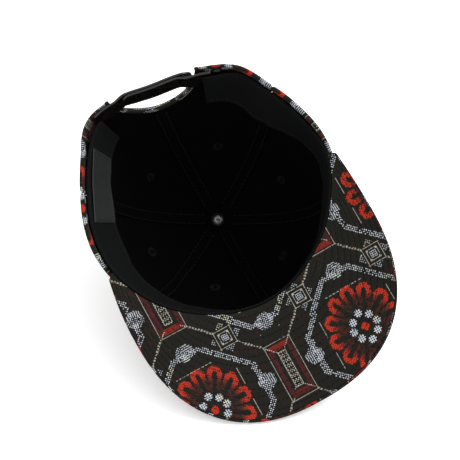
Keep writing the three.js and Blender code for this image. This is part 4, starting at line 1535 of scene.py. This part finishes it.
def square_masks(a, b):
    """Nested squares with a crossed middle, and the stepped points on their sides."""
    x = abs(a - REPEAT[0] / 4)
    y = abs(b - REPEAT[1] / 2)
    far = x.most(y)
    near = x.least(y)
    line = SQUARE["line"]
    outer = (abs(x - SQUARE["outer"]) < line).most(abs(y - SQUARE["outer"]) < line)
    lines = (outer * (far < SQUARE["tips"])).most(abs(far - SQUARE["inner"]) < line)
    corners = (abs(far - SQUARE_CORNER["at"]) < SQUARE_CORNER["half"]) * (near > SQUARE_CORNER["from"])
    small, large = (
        hash_sign(x, y, SQUARE_SIGN["half"], bar, SQUARE_SIGN["line"]) for bar in SQUARE_SIGN["bars"]
    )
    reach = far - SQUARE_POINT["from"]
    points = (reach > 0) * (near + reach * SQUARE_POINT["slope"] < SQUARE_POINT["width"])
    return lines, corners.most(small).most(large), points


def star_mask(a, b):
    """Crosses over hash signs, round the medallion's heart."""
    line = STAR["line"]
    stars = []
    for star_a, star_b in STARS:
        x = abs(a - star_a)
        y = abs(b - star_b)
        cross = (x < line).most(y < line) * (x.most(y) < STAR["cross"])
        stars.append(hash_sign(x, y, STAR["half"], STAR["bar"], line).most(cross))
    return stars[0].most(stars[1]).most(stars[2])


def link_mask(yarns):
    """Broken lines that join the squares to the blobs."""
    a, b = yarns.fine_a, yarns.fine_b
    row = (yarns.fine_v / LINK_SLIP_PATCH).floor()
    column = (yarns.fine_u / LINK_SLIP_PATCH).floor()
    slip = white_noise(row, column) - 0.5
    line = abs(a + b - LINK["at"] + slip * LINK["slip"]) < LINK["half"]
    dashes = ((a - b) / LINK["dash"]) % 1 < LINK["dash_share"]
    return line * a.between(*LINK["span"]) * dashes


def dyed_ground(yarns):
    """The dark ground with its ribs, cloudy dye, red hints and thin frames."""
    shade = yarns.ribs * GROUND["ribs"] + yarns.noise(CHANGES["cloud"]) * GROUND["cloud"]
    shade = shade + yarns.streaks.rescale(*GROUND["streaks"])
    ground = blend_colour(INKS["rib"], INKS["ground"], shade)
    hinted = yarns.noise(CHANGES["hint"]) > SHOWN_FROM["hint"]
    hint = (yarns.patch(1, 3) > MISSING["hint"]) * hinted
    ground = blend_colour(ground, INKS["faint_red"], hint * COVER["hint"])
    dashes = yarns.cell_u % FRAME_DASH["cells"] < FRAME_DASH["dash"]
    across = abs(yarns.fine_b - FRAME_ACROSS["at"]) < FRAME_ACROSS["half"]
    across = across * (yarns.a < FRAME_ACROSS["end"]) * dashes
    along = abs(yarns.fine_a - FRAME_ALONG["at"]) < FRAME_ALONG["half"]
    along = along * yarns.fine_b.between(*FRAME_ALONG["span"])
    frames = across.most(along) * yarns.chance.rescale(*FRAME_STRENGTH)
    return blend_colour(ground, INKS["cream"], frames)


def dyed_oblongs(yarns, ground, sides, ends):
    """Dark bars along the oblongs' sides and brighter, hatched ends."""
    blotches = yarns.patch(2, 5) * BAR_DYE["vary"] + BAR_DYE["least"]
    bars = sides * yarns.streaks.rescale(*BAR_STREAKS) * blotches
    colour = blend_colour(ground, INKS["dark_red"], bars)
    bright = yarns.noise(CHANGES["bright"], 0.0).rescale(*BRIGHTENING)
    share = bright * END_RED["vary"] + END_RED["least"]
    end_red = blend_colour(INKS["dark_red"], INKS["red"], share)
    end_rows = 1 - (yarns.hatch_v < END_ROWS["share"]) * END_ROWS["bare"]
    dyed = ends * end_rows * yarns.uneven(**END_DYE).least(1)
    return blend_colour(colour, end_red, dyed), bars


def dyed_flower(yarns, ground, petals, depth, radius):
    """Red petals, deeper towards the middle, and the medallion's red heart."""
    dyed = petals * (1 - yarns.hole * BARE["petal"])
    petal_red = blend_colour(INKS["deep_red"], INKS["red"], depth * yarns.uneven(**PETAL_DYE))
    reach = depth * PETAL_REACH["vary"] + PETAL_REACH["least"]
    colour = blend_colour(ground, petal_red, dyed * reach.least(1))
    heart = (radius < FLOWER["heart"]) * (1 - yarns.hole * BARE["heart"])
    return blend_colour(colour, INKS["red"], heart)


def dotted_blobs(yarns):
    """The blobs' lattice: dots in some places and short dashes in others."""
    rows = yarns.hatch_v < BLOBS["dash"]
    columns = yarns.hatch_u < BLOBS["dash"]
    lengthwise = yarns.a > BLOBS["centres"][1][0] / 2
    dotted = yarns.noise(CHANGES["dotted"]) > SHOWN_FROM["dotted"]
    lattice = rows.pick(columns, lengthwise).pick(yarns.dot, dotted)
    return blob_mask(yarns.a, yarns.b) * lattice * (yarns.chance > MISSING["blobs"])


def kasuri_group():
    """Colour of the patterned cloth, and how high its coloured yarn stands."""
    tree, given, result, _ = new_group(
        "kasuri", "ShaderNodeTree", {"Cloth": "NodeSocketVector"},
        {"Color": "NodeSocketColor", "Yarn": "NodeSocketFloat"},
    )
    yarns = Yarns(tree, given.outputs["Cloth"])
    chance, dot = yarns.chance, yarns.dot
    petals, depth, marks, radius = flower_masks(yarns.a, yarns.b)
    outline, *_ = oblong_masks(yarns.fine_a, yarns.fine_b)
    _, sides, ends, mitres, in_column = oblong_masks(yarns.a, yarns.b)
    lines, signs, _ = square_masks(yarns.fine_a, yarns.fine_b)
    _, _, points = square_masks(yarns.a, yarns.b)

    colour = dyed_ground(yarns)
    marks = marks * yarns.checker * (chance > MISSING["petal_marks"]) * COVER["petal_marks"]
    colour = blend_colour(colour, INKS["deep_red"], marks)
    colour, bars = dyed_oblongs(yarns, colour, sides, ends)
    colour = dyed_flower(yarns, colour, petals, depth, radius)

    column_marks = in_column * (1 - (yarns.cell_v % BARE_ROW < 1)) * dot
    cream = (outline * COVER["outline"]).most(lines * COVER["lines"]).most(mitres * dot)
    cream = cream.most(link_mask(yarns) * COVER["link"]).most(column_marks)
    white = octagon_mask(yarns.a, yarns.b) * dot * (chance > MISSING["dots"])
    white = white.most(dotted_blobs(yarns) * COVER["blobs"])
    white = white.most(star_mask(yarns.fine_a, yarns.fine_b)).most(signs * COVER["signs"])
    white = white.most(points * dot * COVER["points"])
    strong = yarns.uneven(**MARK_DYE).least(1)
    colour = blend_colour(colour, INKS["cream"], cream * strong)
    patch_u, patch_v = ((place / CHANGES["yellow"]).floor() for place in (yarns.fine_u, yarns.fine_v))
    yellowed = white_noise(patch_u, patch_v) > MISSING["yellow"]
    pale = blend_colour(INKS["white"], INKS["yellow"], yellowed * COVER["yellow"])
    colour = blend_colour(colour, pale, white * strong)
    worn = yarns.noise(CHANGES["worn"]) * WORN["vary"] + WORN["least"]
    height = petals.most(white).most(cream).most(bars) * YARN_HEIGHT["dyed"]
    height = height + yarns.ribs * YARN_HEIGHT["ribs"]
    fill(tree, result, {"Color": shade_colour(colour, worn), "Yarn": height.socket})
    return tree


# Weave and lint of the plain cloths

TWILL = {"slant": 0.55, "cross_slant": 0.3, "cross_pitch": 1.9}
TWILL_HEIGHT = {"rib": 0.65, "thread": 0.2, "slub": 0.3, "slub_size": 3}
TWILL_TONE = {"cloud": 0.5, "cloud_size": 26, "rib": 0.3, "least": 0.55}
# Specks and the patches that hold them: size, and the noise past which they show
LINT_SPECK = {"size": 0.7, "from": 0.78, "cover": 0.5}
LINT_PATCH = {"size": 11, "from": 0.6}


def twill_group():
    """Diagonal ribs of a twill weave with small slubs, as a height, and their tone."""
    tree, given, result, _ = new_group(
        "twill", "ShaderNodeTree", {"Cloth": "NodeSocketVector", "Pitch": "NodeSocketFloat"},
        {"Height": "NodeSocketFloat", "Tone": "NodeSocketFloat"},
    )
    cloth = given.outputs["Cloth"]
    u, v = split(tree, cloth)
    pitch = Field(tree, given.outputs["Pitch"])
    rib = abs(((u + v * TWILL["slant"]) / pitch * math.pi).sine())
    cross = (v - u * TWILL["cross_slant"]) / pitch * (math.pi * TWILL["cross_pitch"])
    slub = soft_noise(tree, cloth, TWILL_HEIGHT["slub_size"])
    height = rib * TWILL_HEIGHT["rib"] + abs(cross.sine()) * TWILL_HEIGHT["thread"]
    height = height + slub * TWILL_HEIGHT["slub"]
    cloud = soft_noise(tree, cloth, TWILL_TONE["cloud_size"])
    tone = cloud * TWILL_TONE["cloud"] + rib * TWILL_TONE["rib"] + TWILL_TONE["least"]
    fill(tree, result, {"Height": height.socket, "Tone": tone.socket})
    return tree


def lint_group():
    """Specks of pale lint that black cloth picks up, as a share of each point."""
    tree, given, result, _ = new_group(
        "lint", "ShaderNodeTree", {"Cloth": "NodeSocketVector"}, {"Share": "NodeSocketFloat"}
    )
    cloth = given.outputs["Cloth"]
    specks = soft_noise(tree, cloth, LINT_SPECK["size"], 1.0) > LINT_SPECK["from"]
    patches = soft_noise(tree, cloth, LINT_PATCH["size"]) > LINT_PATCH["from"]
    fill(tree, result, {"Share": (specks * patches * LINT_SPECK["cover"]).socket})
    return tree


# Finishes

BLACK = (0, 0, 0)
LINT = (0.02, 0.02, 0.02)
SATIN = {"colour": (0.0075, 0.008, 0.0082), "row": 0.35, "selvedge": 1.1}
PLASTIC = {"dark": (0.0016, 0.0012, 0.0011), "light": (0.004, 0.0029, 0.0027)}
# The rivet's colours are a painted reflection: dark all over, and pale for the painted highlight on
# the dome
CHROME_PAINTED_REFLECTION = {"dark": (0.012, 0.012, 0.013), "light": (0.42, 0.42, 0.42)}
# Where along the rivet's profile its dome is, which carries a painted highlight, and how it fades at
# each end
RIVET_DOME = {"from": 10.6, "to": 13.9, "fade_in": 0.9, "fade_out": 0.7}
PLY = {"slant": 1.4, "pitch": 0.5, "fuzz": 0.3}


class Finish:
    """A material under way: its tree, shader and cloth coordinates."""

    def __init__(self, name, roughness, specular=0.5, metallic=0.0):
        self.material = bpy.data.materials.new(name)
        self.material.use_nodes = True
        self.tree = self.material.node_tree
        self.shader = self.tree.nodes["Principled BSDF"]
        self.shade(**{
            "Roughness": roughness, "Specular IOR Level": specular, "Metallic": metallic,
        })
        self.cloth = add_node(self.tree, "ShaderNodeUVMap", uv_map="cloth").outputs["UV"]

    def shade(self, **values):
        fill(self.tree, self.shader, values)

    def group(self, tree, **values):
        inputs = {"Cloth": self.cloth, **values}
        return add_node(self.tree, "ShaderNodeGroup", inputs, node_tree=tree)

    def noise(self, size, detail=2.0):
        return soft_noise(self.tree, self.cloth, size, detail)

    def colour(self, socket):
        self.shade(**{"Base Color": socket})

    def roughness(self, field):
        self.shade(Roughness=field.socket)

    def bump(self, socket, distance, strength):
        values = {"Distance": distance * MM, "Strength": strength, "Height": socket}
        self.shade(Normal=add_node(self.tree, "ShaderNodeBump", values).outputs["Normal"])


def kasuri_finish(kasuri):
    finish = Finish("kasuri_cloth", roughness=0.8, specular=0.12)
    node = finish.group(kasuri)
    yarn = Field(finish.tree, node.outputs["Yarn"])
    finish.colour(node.outputs["Color"])
    finish.roughness(yarn.rescale(0, 1, 0.92, 0.7))
    finish.bump(yarn.socket, distance=0.14, strength=0.5)
    finish.shade(**{
        "Sheen Weight": 0.015, "Sheen Roughness": 0.5, "Sheen Tint": (0.9, 0.9, 1.0, 1),
    })
    return finish.material


def twill_finish(name, twill, lint, colour, pitch, specular):
    finish = Finish(name, roughness=0.92, specular=specular)
    weave = finish.group(twill, Pitch=pitch)
    tone = Field(finish.tree, weave.outputs["Tone"])
    specks = Field(finish.tree, finish.group(lint).outputs["Share"])
    finish.colour(blend_colour(blend_colour(BLACK, colour, tone), LINT, specks))
    finish.roughness(tone.rescale(0.5, 1.3, 0.98, 0.82))
    finish.bump(weave.outputs["Height"], distance=0.12, strength=0.6)
    return finish.material


def satin_finish():
    """Smooth weave with its shine along the rows, and a fine selvedge."""
    finish = Finish("label_satin", roughness=0.5)
    u, v = split(finish.tree, finish.cloth)
    rows = abs((v * (math.pi / SATIN["row"])).sine())
    floats = soft_noise(finish.tree, join(u * 0.15, v * 2.5), 1)
    half = LABEL["height"] / 2
    edge = abs(v - half) > half - SATIN["selvedge"]
    tone = rows * 0.25 + floats * 0.8 + 0.4 - edge * 0.25
    finish.colour(blend_colour(BLACK, SATIN["colour"], tone))
    finish.roughness(floats.rescale(0.3, 0.7, 0.42, 0.58) + edge * 0.2)
    finish.bump((rows * 0.5 + floats * 0.6 + edge * 0.8).socket, distance=0.08, strength=0.5)
    return finish.material


def plastic_finish():
    """Moulded plastic: soft gloss, faint flow marks and scuffs."""
    finish = Finish("strap_plastic", roughness=0.3)
    scuffs = finish.noise(6, 6.0)
    u, v = split(finish.tree, finish.cloth)
    flow = soft_noise(finish.tree, join(u * 0.12, v), 2.5, 3.0)
    finish.colour(blend_colour(PLASTIC["dark"], PLASTIC["light"], flow))
    finish.roughness(scuffs.rescale(0.3, 0.7, 0.2, 0.4))
    finish.bump((scuffs * 0.5 + flow).socket, distance=0.03, strength=0.35)
    return finish.material


def chrome_finish():
    """Metal whose colour is a painted reflection: dark all over, with a painted highlight on the dome
    broken up by fine wear.
    """
    finish = Finish("rivet_chrome", roughness=0.15, metallic=1.0)
    wear = finish.noise(0.9, 6.0)
    place = split(finish.tree, finish.cloth)[1]
    start, end = RIVET_DOME["from"], RIVET_DOME["to"]
    # Painted highlight: the dome's stretch of the profile is coloured pale
    painted_highlight = place.rescale(start, start + RIVET_DOME["fade_in"], 0, 1)
    painted_highlight = painted_highlight * place.rescale(end, end + RIVET_DOME["fade_out"], 1, 0)
    finish.colour(blend_colour(CHROME_PAINTED_REFLECTION["dark"], CHROME_PAINTED_REFLECTION["light"], painted_highlight * wear))
    finish.roughness(wear.rescale(0.35, 0.7, 0.12, 0.35))
    finish.bump(wear.socket, distance=0.4, strength=1.0)
    return finish.material


def thread_finish(name, grey):
    """Twisted yarn: fine slanting plies."""
    finish = Finish(name, roughness=0.85, specular=0.08)
    u, v = split(finish.tree, finish.cloth)
    ply = abs(((u + v * PLY["slant"]) * (math.pi / PLY["pitch"])).sine())
    fuzz = finish.noise(PLY["fuzz"])
    finish.colour(blend_colour(BLACK, (grey, grey, grey), ply * 0.6 + fuzz * 0.7))
    finish.roughness(ply.rescale(0, 1, 0.85, 0.6))
    finish.bump((ply + fuzz * 0.5).socket, distance=0.06, strength=0.5)
    return finish.material


# Camera, light and table

CAMERA = {"at": (0, -158, 987.4), "aim": (1.15, -29.1, -4.65), "lens": 112.7, "sensor": 36}
TABLE_TOP = {"half": 4, "z": -0.0004, "white": 0.93, "roughness": 0.95, "glow": 0.27}
WINDOW = {"at": (0.9, -0.5, 1.4), "size": 1.1, "energy": 30}
ROOM_LIGHT = 1.15


def place_facing(name, data, at, aim):
    """A camera or lamp at a place, turned to a point."""
    thing = bpy.data.objects.new(name, data)
    bpy.context.scene.collection.objects.link(thing)
    thing.location = at
    thing.rotation_euler = (aim - at).to_track_quat("-Z", "Y").to_euler()
    return thing


def make_camera():
    data = bpy.data.cameras.new("camera")
    data.lens = CAMERA["lens"]
    data.sensor_width = CAMERA["sensor"]
    at, aim = (Vector(world(CAMERA[name])) for name in ("at", "aim"))
    bpy.context.scene.camera = place_facing("camera", data, at, aim)


def make_stage():
    half, z = TABLE_TOP["half"], TABLE_TOP["z"]
    mesh = bpy.data.meshes.new("table")
    corners = [(-half, -half, z), (half, -half, z), (half, half, z), (-half, half, z)]
    mesh.from_pydata(corners, [], [(0, 1, 2, 3)])
    white = bpy.data.materials.new("table_white")
    white.use_nodes = True
    fill(white.node_tree, white.node_tree.nodes["Principled BSDF"], {
        "Base Color": (*(TABLE_TOP["white"],) * 3, 1), "Roughness": TABLE_TOP["roughness"],
        "Emission Color": (1, 1, 1, 1), "Emission Strength": TABLE_TOP["glow"],
    })
    table = new_object("table", mesh, white)
    room = bpy.data.worlds.new("light_room")
    room.use_nodes = True
    fill(room.node_tree, room.node_tree.nodes["Background"], {
        "Color": (1, 1, 1, 1), "Strength": ROOM_LIGHT,
    })
    bpy.context.scene.world = room
    bpy.context.scene.view_settings.view_transform = "Standard"
    data = bpy.data.lights.new("window", "AREA")
    data.shape = "DISK"
    data.size = WINDOW["size"]
    data.energy = WINDOW["energy"]
    place_facing("window", data, Vector(WINDOW["at"]), Vector((0, 0, 0)))


make_camera()
make_stage()
twill = twill_group()
lint = lint_group()
kasuri_cloth = kasuri_finish(kasuri_group())
lining_twill = twill_finish("lining_twill", twill, lint, (0.0012, 0.0012, 0.0012), 0.9, 0.03)
band_twill = twill_finish("band_twill", twill, lint, (0.0026, 0.0028, 0.0028), 0.8, 0.07)
make_panels(kasuri_cloth)
make_lining(lining_twill)
make_tapes(lining_twill)
make_sweatband(band_twill)
make_label(satin_finish())
make_visor(kasuri_cloth)
make_binding(kasuri_cloth)
make_strap(plastic_finish())
make_button(kasuri_cloth)
make_rivet(chrome_finish())
make_eyelets(thread_finish("eyelet_thread", 0.004))
make_stitches(thread_finish("cloth_thread", 0.0015), thread_finish("black_thread", 0.014))
